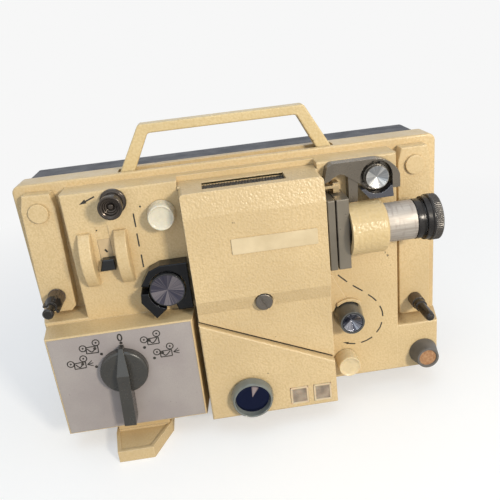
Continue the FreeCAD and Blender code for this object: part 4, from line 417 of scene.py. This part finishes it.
grit = Finish("tilt_brown", (0.20, 0.155, 0.125), 0.42)
_, out, height = grit.out_from(*TILT_KNOB)
face = grit.between(height, KNOB_FRONT, KNOB_FRONT - 0.3 * MM)
cap = grit.times(face, grit.between(out, CAP_RADIUS, CAP_RADIUS - 0.3 * MM))
side = grit.clouds(80, (0.100, 0.092, 0.084), (0.135, 0.124, 0.114))
side = grit.mix(face, side, (0.13, 0.12, 0.11))
copper = grit.mix(grit.between(grit.noise(420, 3), 0.40, 0.62), (0.34, 0.16, 0.07),
                  (0.46, 0.26, 0.13))
pebbles = grit.times(grit.cells(1000, "SMOOTH_F1"), cap)
grain = grit.sum(grit.times(pebbles, -1.0), grit.times(grit.noise(1300, 2), 0.2))
grit.set(colour=grit.mix(cap, side, copper),
         normal=grit.bump(grain, 0.2 * MM, grit.edges(0.4 * MM)[0]),
         roughness=grit.patchy(190, 0.34, 0.55))
grit.dress("tilt_knob")

# Reel spindles: blackened steel, nearly mirror smooth where a reel slides on, with a browned and
# knurled base against the arm.
KNURL_TEETH = 36.0

for name, colour, centre, knurl_front in (
        ("left_spindle", (0.032, 0.029, 0.028), (-148.13, 125.54), -38.0),
        ("right_spindle", (0.040, 0.035, 0.031), (143.9, 78.5), -36.6)):
    steel = Finish(name + "_steel", colour, 0.18, 0.5)
    way, _, height = steel.out_from(*centre)
    turn = steel.add("SeparateXYZ", {0: way}).outputs
    teeth = steel.maths("SINE", steel.times(steel.maths("ARCTAN2", turn[2], turn[0]),
                                            KNURL_TEETH))
    base = steel.between(height, (knurl_front - 0.2) * MM, (knurl_front + 0.2) * MM)
    rounded, edge = steel.edges(0.35 * MM)
    body = steel.mix(base, colour, (0.115, 0.088, 0.066))
    # Edges paler: partly wear, partly painted highlight.
    body = steel.mix(steel.times(edge, 0.5), body, (0.30, 0.27, 0.24))
    steel.set(colour=body, roughness=steel.between(base, 0, 1, 0.16, 0.42),
              normal=steel.bump(steel.times(teeth, base), 0.12 * MM, rounded))
    steel.dress(name)


# Film path: guards, shoes and gate, pressed from sheet and lacquered, bronze-grey above and at
# the gate and black below, with a brass entry. They are screwed to the deck.
def lacquer(name, colour, roughness, edge_wear_and_highlight, metallic=0.5):
    """Lacquer over metal: slightly cloudy, and bright at the edges, partly rubbed through and
    partly painted highlight.
    """
    film = Finish(name, colour, roughness, metallic)
    rounded, edge = film.edges(0.22 * MM, 0.88)
    clouds = film.noise(45, 4)
    body = film.mix(film.between(clouds, 0.35, 0.65), shade(colour, 0.9), shade(colour, 1.08))
    # Edges bright: partly rubbed through, partly painted highlight.
    body = film.mix(film.times(edge, 0.8), body, edge_wear_and_highlight)
    film.set(colour=body, normal=film.bump(film.noise(700, 3), 0.03 * MM, rounded),
             roughness=film.patchy(160, roughness * 0.75, roughness * 1.3, 4))
    return film


lacquer("guard_bronze", (0.138, 0.120, 0.098), 0.28, (0.50, 0.46, 0.40)).dress(
    "upper_guard", "upper_sprocket")
lacquer("shoe_steel", (0.085, 0.087, 0.105), 0.14, (0.7, 0.7, 0.72), 0.7).dress("upper_shoe")
lacquer("gate_bronze", (0.190, 0.165, 0.130), 0.36, (0.55, 0.50, 0.43)).dress("gate_plate")
lacquer("pressure_bronze", (0.215, 0.187, 0.148), 0.36, (0.58, 0.53, 0.45)).dress("pressure_plate")
lacquer("guard_black", (0.010, 0.010, 0.012), 0.16, (0.34, 0.34, 0.37)).dress(
    "lower_guard", "lower_shoe", "shutter")
lacquer("entry_brass", (0.50, 0.38, 0.22), 0.32, (0.80, 0.68, 0.48), 0.9).dress("film_entry")

# Lens: a turned aluminium barrel, drawn along its length and stained, that slides in its carrier
# with coated glass in it. Lamp and condenser are of glass too, the chassis plate of aluminium.
barrel = Finish("barrel_aluminium", (0.46, 0.41, 0.36), 0.52, 0.6)
streaks = barrel.noise(260, 3, barrel.stretched((0.15, 3.0, 3.0)))
marks = barrel.noise(500, 4, barrel.stretched((1.0, 0.25, 0.25)))
barrel_body = barrel.mix(barrel.between(streaks, 0.32, 0.68), (0.38, 0.335, 0.295),
                         (0.53, 0.485, 0.435))
barrel_body = barrel.mix(barrel.between(marks, 0.52, 0.70, 0.0, 0.55), barrel_body,
                         (0.29, 0.235, 0.205))
barrel.set(colour=barrel_body,
           normal=barrel.bump(barrel.sum(streaks, marks), 0.05 * MM, barrel.edges(0.3 * MM)[0]),
           roughness=barrel.patchy(150, 0.48, 0.62))
barrel.dress("lens_barrel", "chassis_plate")
glass = Finish("coated_glass", (0.95, 0.96, 0.98), 0.03, sockets={
    "Transmission Weight": 1.0, "IOR": 1.52, "Coat Weight": 0.4})
glass.set(roughness=glass.between(glass.noise(40, 3), 0.4, 0.8, 0.01, 0.06))
glass.dress("lens_glass", "lamp", "condenser")


# Printing on the deck: the film's path in black dashes, the loop's place in upright dashes, an
# arrow beside the entry roller and a mark by the framing knob. Screen ink, barely proud.
INK_THICK, INK_SUNK = 0.06, 0.02


def smooth_line(points, count):
    """The points joined by a Catmull-Rom curve: each span is a cubic through its two ends whose
    slopes are half the step between the neighbours."""
    p = np.asarray(points, float)
    p = np.vstack([2 * p[0] - p[1], p, 2 * p[-1] - p[-2]])
    t = np.linspace(0, len(p) - 3, count)
    i = np.minimum(t.astype(int), len(p) - 4)
    u = (t - i)[:, None]
    a, b, c, d = p[i], p[i + 1], p[i + 2], p[i + 3]
    return 0.5 * (2 * b + (c - a) * u + (2 * a - 5 * b + 4 * c - d) * u ** 2
                  + (3 * b - a - 3 * c + d) * u ** 3)


def ink_line(path, width, front):
    """A flat bar along a path of (x, z): four corners at each point, half the width to each side
    along the path's normal, the first pair just in the surface and the second in front of it."""
    p = np.asarray(path, float)
    run = np.gradient(p, axis=0)
    side = np.stack([-run[:, 1], run[:, 0]], 1)
    side /= np.maximum(np.linalg.norm(side, axis=1, keepdims=True), 1e-9)
    left, right = p + side * width / 2, p - side * width / 2
    y = np.full(len(p), float(front))
    corners = np.stack([
        np.column_stack([left[:, 0], y + INK_SUNK, left[:, 1]]),
        np.column_stack([right[:, 0], y + INK_SUNK, right[:, 1]]),
        np.column_stack([right[:, 0], y - INK_THICK, right[:, 1]]),
        np.column_stack([left[:, 0], y - INK_THICK, left[:, 1]])], 1)
    i, j = np.meshgrid(np.arange(len(p) - 1), np.arange(4), indexing="ij")
    i, j = i.ravel() * 4, j.ravel()
    k = (j + 1) % 4
    faces = np.stack([i + j, i + k, i + 4 + k, i + 4 + j], 1).tolist()
    last = 4 * (len(p) - 1)
    return corners.reshape(-1, 3), faces + [[3, 2, 1, 0], [last, last + 1, last + 2, last + 3]]


def ink_patch(corners, front, thick=INK_THICK):
    """A flat convex patch: its corners just in the surface and again thick in front, joined by
    side faces, with the corners taken round the same way."""
    p = np.asarray(corners, float)
    n = len(p)
    points = np.vstack([np.column_stack([p[:, 0], np.full(n, y), p[:, 1]])
                        for y in (front + INK_SUNK, front - thick)])
    i = np.arange(n)
    k = (i + 1) % n
    sides = np.stack([i, k, k + n, i + n], 1).tolist()
    faces = sides + [i[::-1].tolist(), (i + n).tolist()]
    across = np.sum(p[i, 0] * p[k, 1] - p[k, 0] * p[i, 1])
    return points, faces if across > 0 else [face[::-1] for face in faces]


def turned(outline, place, axis=(0, -1, 0), steps=64, wave=None):
    """A surface of revolution: each (along, radius) of the outline goes round the axis at even
    angles, point = place + along * axis + radius * (cos a * side + sin a * rise). An end on the
    axis is one point. wave(a, along) multiplies the radius, for a knurl."""
    outline = np.asarray(outline, float)
    axis = np.asarray(axis, float)
    side = np.array([1.0, 0, 0]) if abs(axis[0]) < 0.5 else np.array([0, 1.0, 0])
    rise = np.cross(axis, side)
    closed = [int(outline[0, 1] < 1e-9), int(outline[-1, 1] < 1e-9)]
    rows = outline[closed[0]:len(outline) - closed[1]]
    a = np.arange(steps) * 2 * math.pi / steps
    along, angle = np.meshgrid(rows[:, 0], a, indexing="ij")
    radius = np.repeat(rows[:, 1:], steps, 1)
    if wave:
        radius = radius * wave(angle, along)
    ring = (np.asarray(place, float) + along[..., None] * axis + radius[..., None]
            * (np.cos(angle)[..., None] * side + np.sin(angle)[..., None] * rise))
    points = ring.reshape(-1, 3)
    i, j = np.meshgrid(np.arange(len(rows) - 1), np.arange(steps), indexing="ij")
    i, j = i.ravel() * steps, j.ravel()
    k = (j + 1) % steps
    faces = np.stack([i + j, i + k, i + steps + k, i + steps + j], 1).tolist()
    j = np.arange(steps)
    k = (j + 1) % steps
    last = (len(rows) - 1) * steps
    for end, first_row, pair in ((0, 0, (k, j)), (-1, last, (j, k))):
        if closed[end]:
            centre = np.asarray(place, float) + outline[end, 0] * axis
            points = np.vstack([points, centre])
            tip = np.full(steps, len(points) - 1)
            faces += np.stack([first_row + pair[0], first_row + pair[1], tip], 1).tolist()
    return points, faces


def ink_dot(x, z, radius, front, steps=24, thick=INK_THICK):
    """A round dot: an outline of two straight runs turned about the dot's own axis."""
    return turned([(0, radius), (thick, radius), (thick, 0)], (x, front, z), steps=steps)


def softened(outline, radius, steps=4):
    """Each inner corner of an outline is rounded: a quadratic curve from radius before the
    corner to radius after it, or a third of the way along a shorter run."""
    p = np.asarray(outline, float)
    row = [p[:1]]
    t = np.linspace(0, 1, steps)[:, None]
    for before, corner, after in zip(p[:-2], p[1:-1], p[2:]):
        start, end = (corner + (far_end - corner) * min(
            0.33, radius / max(math.dist(far_end, corner), 1e-9)) for far_end in (before, after))
        row.append((1 - t) ** 2 * start + 2 * t * (1 - t) * corner + t ** 2 * end)
    return np.vstack(row + [p[-1:]])


SHARP_FROM = math.radians(35)


def make(name, parts, finish, body, stands_for=()):
    """One object in metres from several (points, faces) in millimetres. It moves with its body,
    and where it stands for a piece of the frame it takes that piece's place."""
    points = np.vstack([p for p, _ in parts]) * MM
    faces, first = [], 0
    for p, rows in parts:
        faces += [[first + i for i in row] for row in rows]
        first += len(p)
    mesh = bpy.data.meshes.new(name)
    mesh.from_pydata(points.tolist(), [], faces)
    mesh.shade_smooth()
    mesh.set_sharp_from_angle(angle=SHARP_FROM)
    mesh.materials.append(finish.material)
    piece = bpy.data.objects.new(name, mesh)
    bpy.context.scene.collection.objects.link(piece)
    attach(piece, body)
    if stands_for:
        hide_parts(*stands_for)
    return piece


ink = Finish("printing_ink", (0.020, 0.017, 0.015), 0.5)
ink.set(colour=ink.mix(ink.between(ink.noise(900, 3), 0.45, 0.72), (0.016, 0.014, 0.012),
                       (0.07, 0.055, 0.040)),
        normal=ink.bump(ink.noise(1500, 2), 0.02 * MM))
DECK_FRONT = -39.0
film_way = [smooth_line(points, 24) for points in (
    [(76.2, 116.0), (79.8, 112.3), (83.3, 108.9)], [(87.8, 105.0), (91.8, 101.8), (95.7, 98.8)],
    [(100.2, 94.7), (103.8, 91.5), (106.9, 87.8)], [(109.7, 82.8), (111.5, 78.0), (112.1, 72.8)],
    [(111.1, 67.2), (109.3, 62.3), (106.3, 58.1)], [(102.6, 54.3), (97.9, 51.9), (92.7, 50.4)],
    [(87.8, 50.2), (83.9, 50.9), (80.2, 52.1)])]
film_way += [[(x, low), (x, high)] for x, low, high in (
    (-74.5, 178.5, 189.2), (-74.7, 162.8, 173.4), (-74.5, 145.7, 156.2))]
film_way.append([(-99.9, 205.7), (-107.0, 202.9)])
dashes = [ink_line(way, 1.1, DECK_FRONT) for way in film_way]
dashes += [ink_patch(points, DECK_FRONT) for points in (
    [(-111.9, 201.0), (-106.2, 201.6), (-107.3, 204.6)],
    [(77.2, 53.1), (81.5, 50.6), (82.3, 52.6)],
    [(-101.0, 163.9), (-99.6, 161.6), (-98.3, 162.0), (-99.9, 164.6)])]
dashes += [ink_dot(x, z, radius, DECK_FRONT)
           for x, z, radius in ((-68.6, 193.8, 0.75), (-103.5, 179.9, 0.5))]
make("deck_printing", dashes, ink, "case")

# Printing on the fascia: five dots round the selector, a nought above it, and a small sign for
# each place of the switch, a box with a reel at two corners.
FASCIA_FRONT = -62.0
SIGN_LINE, REEL_RADIUS, HUB_RADIUS = 0.85, 2.55, 0.8
LAMP_RAYS = ((3.9, 3.0), (4.7, 0.9), (4.4, -1.6))

signs = [ink_dot(x, z, 1.2, FASCIA_FRONT) for x, z in (
    (-98.9, 95.7), (-115.1, 88.6), (-121.1, 78.2), (-82.1, 88.9), (-76.2, 78.4))]
round_trip = np.linspace(0, 2 * math.pi, 49)


def loop_line(x, z, wide, high):
    """A closed ring of (x, z): an ellipse, wide * cos a across and high * sin a up."""
    return np.stack([x + wide * np.cos(round_trip), z + high * np.sin(round_trip)], 1)


signs.append(ink_line(loop_line(-99.05, 100.5, 1.5, 2.8), 1.15, FASCIA_FRONT))
for reels, box, fold, arrow, rays in (     # rays: where they leave a lamp, or None
        (((-128.0, 95.5), (-117.5, 99.0)), ((-125.6, 95.9), (-116.6, 96.3), (-116.9, 90.4),
         (-125.9, 90.6)), ((-124.9, 94.7), (-121.9, 91.6), (-119.0, 93.8)), (-119.0, 94.2), None),
        (((-139.7, 83.4), (-129.4, 86.8)), ((-137.0, 83.5), (-128.4, 83.9), (-128.7, 78.7),
         (-137.4, 78.5)), ((-136.3, 82.6), (-133.5, 79.6), (-130.9, 81.8)), (-130.8, 82.2),
         (-127.4, 81.2)),
        (((-81.5, 95.6), (-71.3, 99.5)), ((-78.9, 95.9), (-70.4, 96.3), (-70.4, 90.8),
         (-79.1, 90.8)), ((-77.7, 94.2), (-75.0, 91.9), (-71.4, 95.6)), (-77.6, 94.5), None),
        (((-73.5, 83.4), (-63.0, 87.0)), ((-70.9, 83.4), (-62.2, 83.8), (-62.2, 78.4),
         (-71.1, 78.4)), ((-69.5, 81.6), (-67.0, 79.5), (-63.2, 82.9)), (-69.4, 81.9),
         (-60.9, 81.4))):
    for start, end in zip(box, box[1:] + box[:1]):
        signs.append(ink_line([start, end], SIGN_LINE, FASCIA_FRONT))
    signs.append(ink_line(smooth_line(fold, 12), 0.9, FASCIA_FRONT))
    signs.append(ink_dot(*arrow, 1.25, FASCIA_FRONT, 16, 0.07))
    for x, z in reels:
        signs.append(ink_line(loop_line(x, z, REEL_RADIUS, REEL_RADIUS), SIGN_LINE, FASCIA_FRONT))
        signs.append(ink_dot(x, z, HUB_RADIUS, FASCIA_FRONT, 16))
    if rays:
        signs += [ink_line([rays, (rays[0] + u, rays[1] + v)], 0.7, FASCIA_FRONT)
                  for u, v in LAMP_RAYS]
make("fascia_printing", signs, ink, "case")


# Toothed and loop rollers: their open ends are closed by discs spun from sheet metal and polished
# by hand, dished to the middle. The few broad petals in which the light breaks up on them are
# painted into their colour as reflections.
def spun_metal(name, centre, dark, bright, petals, roughness=0.22, seed=0.0, only=None):
    """Painted reflection: each petal is one cell of the way out from the axis, light or dark at
    random, or there is only one, at an angle in degrees; dark and bright are the colours of the
    painted reflection. Scratches run round the axis, so the tangent is the axis crossed with the
    way out."""
    metal = Finish(name, bright, roughness, 1.0, {"Anisotropic": 0.6})
    way, far, _ = metal.out_from(*centre)
    round_about = metal.add("VectorMath", {0: way, 1: (0, 1, 0)},
                            operation="CROSS_PRODUCT").outputs[0]
    seeded = metal.add("VectorMath", {0: way, 1: (seed, seed * 0.7, seed)}).outputs[0]
    cell = metal.add("TexVoronoi", {"Vector": seeded, "Scale": petals}).outputs["Color"]
    chance = metal.add("SeparateXYZ", {0: cell}).outputs[0]
    strokes = metal.noise(petals * 7, 2, seeded)
    light = metal.between(metal.sum(metal.times(chance, 0.45), strokes), 0.60, 0.95)
    if only is not None:
        aim = (math.cos(math.radians(only)), 0, math.sin(math.radians(only)))
        light = metal.between(metal.add("VectorMath", {0: way, 1: aim}, operation="DOT_PRODUCT")
                              .outputs["Value"], 0.945, 0.985)
        light = metal.times(light, metal.between(far, 11.0 * MM, 9.0 * MM))
        chance = metal.noise(40, 2)
    # Painted reflection: the petals in the bright colour over the dark one.
    body = metal.mix(light, dark, bright)
    rings = metal.add("TexNoise", {"W": metal.times(far, 2.5 / MM), "Scale": 1.0},
                      noise_dimensions="1D").outputs["Fac"]
    body = metal.mix(metal.between(rings, 0.4, 0.7, 0.0, 0.2), body, shade(dark, 0.6))
    metal.set(colour=body, tangent=round_about,
              normal=metal.bump(metal.sum(chance, metal.times(rings, 0.3)), 0.04 * MM),
              roughness=metal.between(rings, 0.3, 0.7, roughness * 0.8, roughness * 1.2))
    return metal


DISC_THICK = 0.4
# Each disc's dark and bright colours, and its petals, are a painted reflection of its
# surroundings.
for name, body, centre, front, radius, deep, dark, bright, petals, seed in (
        ("upper_sprocket", "feed", (107, 195.5), -50.5, 8.5, 2.0,
         (0.28, 0.285, 0.295), (0.70, 0.69, 0.67), 2.4, 0.0),
        ("lower_sprocket", "take_up", (-58, 130.5), -54.5, 12.5, 1.2,
         (0.085, 0.080, 0.110), (0.30, 0.265, 0.28), 1.5, 2.0),
        ("loop_roller", "loop", (82.5, 80), -55.2, 8.0, 5.2,
         (0.020, 0.024, 0.050), (0.42, 0.42, 0.45), 2.2, 4.0)):
    dished = softened([(-DISC_THICK - deep, 0), (-DISC_THICK, radius - 0.3), (0.15, radius),
                       (0.1, radius - 0.5), (-deep, 0.6), (-deep + 0.1, 0)], 0.3)
    polished = spun_metal(name + "_metal", centre, dark, bright, petals, seed=seed)
    make(name + "_disc", [turned(dished, (centre[0], front, centre[1]), steps=96)], polished,
         body)

# Volume knob: a thick collar of smoked clear plastic round a dished mirror, whose dark blue and
# one pale petal are a painted reflection. It is pushed on to the volume control's shaft and stands
# proud of the cover.
VOLUME = (-5, -70.3, 36.1)
VOLUME_STEPS = 128
MIRROR_PETAL = 72       # degrees up from the right, where the painted reflection of a light lies on the mirror

smoke = Finish("smoked_collar", (0.20, 0.215, 0.20), 0.12, sockets={
    "Transmission Weight": 0.35, "IOR": 1.46, "Coat Weight": 0.5, "Coat Roughness": 0.08})
rounded, edge = smoke.edges(0.5 * MM)
smoke_body = smoke.clouds(60, (0.20, 0.215, 0.195), (0.30, 0.32, 0.29), 3)
# Rims paler: painted highlight on the clear plastic.
smoke.set(colour=smoke.mix(smoke.times(edge, 0.6), smoke_body, (0.58, 0.58, 0.55)),
          roughness=smoke.patchy(150, 0.08, 0.2),
          normal=smoke.bump(smoke.noise(300, 2), 0.03 * MM, rounded))
collar = turned(softened([(0, 0), (0, 16.6), (0.6, 17.2), (4.0, 16.6), (6.4, 15.8), (7.5, 14.9),
                          (7.5, 14.3), (6.8, 13.9), (1.7, 13.5), (1.2, 0)], 0.6),
                VOLUME, steps=VOLUME_STEPS)
make("volume_collar", [collar], smoke, "volume", stands_for=("volume_knob",))
mirror = spun_metal("mirror_painted_reflection", (VOLUME[0], VOLUME[2]), (0.020, 0.026, 0.066),
                    (0.62, 0.50, 0.50), 2.0, 0.16, only=MIRROR_PETAL)
dish = turned(softened([(1.3, 0), (1.8, 12.6), (2.5, 13.4), (2.4, 12.8), (1.9, 0.6), (1.9, 0)],
                       0.4), VOLUME, steps=VOLUME_STEPS)
make("volume_dish", [dish], mirror, "volume")

# Framing and inching knobs: cast from milky plastic, each with a rim turned round a dished face,
# pressed on to its shaft. The framing knob is clouded, the inching knob yellowed like ivory.
for body, slot, place, colour, outline in (
        ("framing", "white_plastic", (-53.8, -39.3, 186.5), (0.74, 0.68, 0.54),
         [(0, 0), (0, 10.5), (0.8, 10.7), (8.5, 10.1), (11.2, 9.7), (11.9, 9.2), (12.0, 8.8),
          (11.7, 8.4), (11.1, 7.6), (10.8, 4.5), (10.7, 0)]),
        ("inching", "ivory_plastic", (79.0, -39.3, 37.5), (0.74, 0.60, 0.37),
         [(0, 0), (0, 9.2), (0.8, 9.4), (10.0, 9.3), (13.2, 9.15), (13.9, 8.7), (14.0, 8.3),
          (13.6, 7.8), (13.0, 6.6), (12.8, 3.0), (12.8, 0)])):
    milky = Finish(body + "_button_plastic", colour, 0.26, sockets={
        "Subsurface Weight": 0.25, "Subsurface Radius": (1.0, 0.75, 0.45),
        "Subsurface Scale": 0.003, "Coat Weight": 0.3, "Coat Roughness": 0.12})
    rounded, edge = milky.edges(0.35 * MM)
    cloudy = milky.clouds(110, shade(colour, 0.88), colour)
    # Edges paler: partly wear, partly painted highlight.
    cloudy = milky.mix(milky.times(edge, 0.4), cloudy, shade(colour, 1.18))
    # Painted shade in corners.
    milky.set(colour=milky.mix(milky.times(milky.painted_crease_shade(2.0 * MM), 0.5), cloudy,
                               shade(colour, 0.4)),
              normal=milky.bump(milky.noise(700, 2), 0.02 * MM, rounded),
              roughness=milky.patchy(200, 0.2, 0.36))
    make(body + "_button", [turned(softened(outline, 0.5), place, steps=96)], milky, body,
         stands_for=(body + "_knob",))

# Slider: a pale sheet of celluloid in a shallow recess of the deck. It is held by the button,
# slides along with it and covers the slot.
SLIDER_LEFT, SLIDER_RIGHT, SLIDER_LOW, SLIDER_TOP = -104.6, -95.4, 147.9, 172.3

celluloid = Finish("slider_celluloid", (0.58, 0.44, 0.26), 0.3)
celluloid.set(colour=celluloid.clouds(160, (0.54, 0.405, 0.235), (0.62, 0.475, 0.285)),
              normal=celluloid.bump(celluloid.noise(800, 2), 0.02 * MM,
                                    celluloid.edges(0.2 * MM)[0]),
              roughness=celluloid.patchy(200, 0.24, 0.4))
make("slider_sheet", [ink_patch([
    (SLIDER_LEFT, SLIDER_LOW), (SLIDER_RIGHT, SLIDER_LOW), (SLIDER_RIGHT, SLIDER_TOP),
    (SLIDER_LEFT, SLIDER_TOP)], -38.6, 0.2)], celluloid, "slider")

# Entry roller: turned from brown-blacked steel, with a stepped rim and rings cut one inside the
# other down to its pin.
ROLLER_X, ROLLER_Z = -87, 200.7

roller_steel = turned_metal("browned_roller", (0.070, 0.056, 0.046), 0.22, 0.6,
                            (ROLLER_X, ROLLER_Z), 0.7)
roller = turned(softened([(0, 0), (0, 9.7), (1.8, 9.7), (2.4, 9.0), (2.8, 7.4), (13.1, 7.2),
                          (13.7, 8.0), (14.3, 8.7), (15.9, 8.7), (16.3, 8.2), (16.7, 8.7),
                          (18.1, 8.7), (18.5, 8.3), (18.5, 7.2), (17.9, 6.8), (17.5, 6.2),
                          (17.3, 5.7), (15.2, 5.3), (15.0, 4.5), (13.6, 4.1), (13.4, 3.0),
                          (12.0, 2.7), (12.0, 2.2), (14.6, 1.9), (14.8, 0)], 0.25),
                (ROLLER_X, -40.0, ROLLER_Z), steps=96)
make("ringed_roller", [roller], roller_steel, "entry", stands_for=("entry_roller",))

# Lens ring: black anodised aluminium, a plain neck, a groove and a grip with a fine straight
# knurl at its front. It screws the lens in and out.
RING_PLACE = (131.0, -55, 161.2)
RIBS = 72
RIB_DEPTH = 0.011       # as a share of the radius
RING_STEPS = 6 * RIBS

ring_black = Finish("ring_black", (0.014, 0.013, 0.013), 0.24, 0.35)
rounded, edge = ring_black.edges(0.3 * MM)
along_ring = ring_black.add("SeparateXYZ", {0: ring_black.place}).outputs[0]
ring_body = ring_black.clouds(110, (0.014, 0.012, 0.012), (0.034, 0.031, 0.030))
ring_body = ring_black.mix(ring_black.between(along_ring, 143.6 * MM, 143.9 * MM), ring_body,
                           (0.060, 0.054, 0.050))
ring_black.set(
    # Edges near white: partly worn anodising, partly painted highlight.
    colour=ring_black.mix(ring_black.times(edge, 0.85), ring_body, (0.42, 0.40, 0.38)),
    roughness=ring_black.patchy(300, 0.2, 0.36),
    normal=ring_black.bump(ring_black.noise(600, 2), 0.02 * MM, rounded))


def grip(angle, along):
    """Straight ribs over the grip's front part, a sine round the ring, and none elsewhere."""
    return 1 + RIB_DEPTH * np.sin(RIBS * angle) * ((along > 12.9) & (along < 17.6))


ring_row = softened([(0, 13.05), (0, 14.8), (0.4, 15.2), (4.4, 15.2), (4.8, 14.8), (4.8, 14.1),
                     (6.8, 14.1), (6.8, 16.1), (7.2, 16.5), (10.4, 16.5), (10.8, 17.1),
                     (11.3, 17.5), (12.0, 17.5), (12.4, 17.0), (12.6, 16.9), (13.0, 17.25),
                     (17.5, 17.25), (18.0, 17.1), (18.3, 16.7), (18.3, 14.6), (17.9, 14.1),
                     (16.1, 12.0), (16.1, 13.05)], 0.2)
ring_points, ring_faces = turned(ring_row, RING_PLACE, (1, 0, 0), RING_STEPS, grip)
last_row = RING_STEPS * (len(ring_row) - 1)
around = np.arange(RING_STEPS)
onward = (around + 1) % RING_STEPS
ring_faces += np.stack([last_row + around, last_row + onward, onward, around], 1).tolist()
make("knurled_ring", [(ring_points, ring_faces)], ring_black, "ring",
     stands_for=("lens_ring",))

# Painted shadow in the slit: a thin black sheet along the top of the sound head cover, under the
# slanting end of the lamp house cover, stands for the shade deep in the slit between them.
slit_shadow = Finish("slit_shadow_black", (0.012, 0.011, 0.011), 0.95, sockets={"Sheen Weight": 0.05})
slit_shadow.set(colour=slit_shadow.mix(slit_shadow.between(slit_shadow.noise(700, 3), 0.35, 0.7), (0.008, 0.008, 0.008),
                         (0.022, 0.020, 0.019)),
         normal=slit_shadow.bump(slit_shadow.noise(2200, 2), 0.12 * MM))
make("slit_painted_shadow", [ink_patch([(-38.0, 103.2), (63.2, 55.5), (63.2, 57.0), (-38.0, 104.7)],
                              -61.4, 0.05)], slit_shadow, "case")

# Vent in the lamp house cover's top: a corrugated black plate lies under the opening and keeps
# light in, held by a cream collar bent up round it.
VENT_TOP = 202.35
RIDGES, RIDGE_PITCH, RIDGE_HIGH = 29, 2.2, 0.35
LIP_TOP, LIP_DEEP = 204.2, 2.2

louvre = Finish("louvre_black", (0.020, 0.021, 0.026), 0.4)
louvre.set(colour=louvre.clouds(130, (0.014, 0.015, 0.020), (0.036, 0.037, 0.043)),
           normal=louvre.bump(louvre.noise(700, 3), 0.05 * MM, louvre.edges(0.2 * MM)[0]),
           roughness=louvre.patchy(200, 0.3, 0.5))


def sheet(x, y, z_of, thick):
    """A plate over a grid of x and y whose top is z_of(x, y); the same grid thick below it closes
    it, joined round the border."""
    across, back = np.meshgrid(x, y, indexing="ij")
    top = z_of(across, back)
    points = np.vstack([np.stack([across, back, top], -1).reshape(-1, 3),
                        np.stack([across, back, top - thick], -1).reshape(-1, 3)])
    n, m = len(x), len(y)
    i, j = np.meshgrid(np.arange(n - 1), np.arange(m - 1), indexing="ij")
    a = (i * m + j).ravel()
    upper = np.stack([a, a + m, a + m + 1, a + 1], 1)
    border = np.concatenate([np.arange(n) * m, (n - 1) * m + np.arange(1, m),
                             (np.arange(n - 1)[::-1]) * m + m - 1, np.arange(1, m - 1)[::-1]])
    b, c = border, np.roll(border, -1)
    rim = np.stack([c, b, b + n * m, c + n * m], 1)
    return points, upper.tolist() + (upper[:, ::-1] + n * m).tolist() + rim.tolist()


plate = sheet(np.linspace(-23.0, 40.8, RIDGES * 8 + 1), np.linspace(-56.6, -34.2, 5),
              lambda x, y: VENT_TOP + RIDGE_HIGH * np.cos(x * 2 * math.pi / RIDGE_PITCH), 0.5)
make("vent_louvre", [plate], louvre, "lamp_house_cover")
for name, x0, x1, y0, y1 in (("vent_lip_back", -21.6, 39.4, -35.0, -34.2),
                             ("vent_lip_left", -22.4, -21.6, -55.0, -34.2),
                             ("vent_lip_right", 39.4, 40.2, -55.0, -34.2)):
    lip = sheet(np.linspace(x0, x1, 12), np.linspace(y0, y1, 12), lambda x, y: LIP_TOP + 0 * x,
                LIP_DEEP)
    make(name, [lip], cover_enamel, "lamp_house_cover")
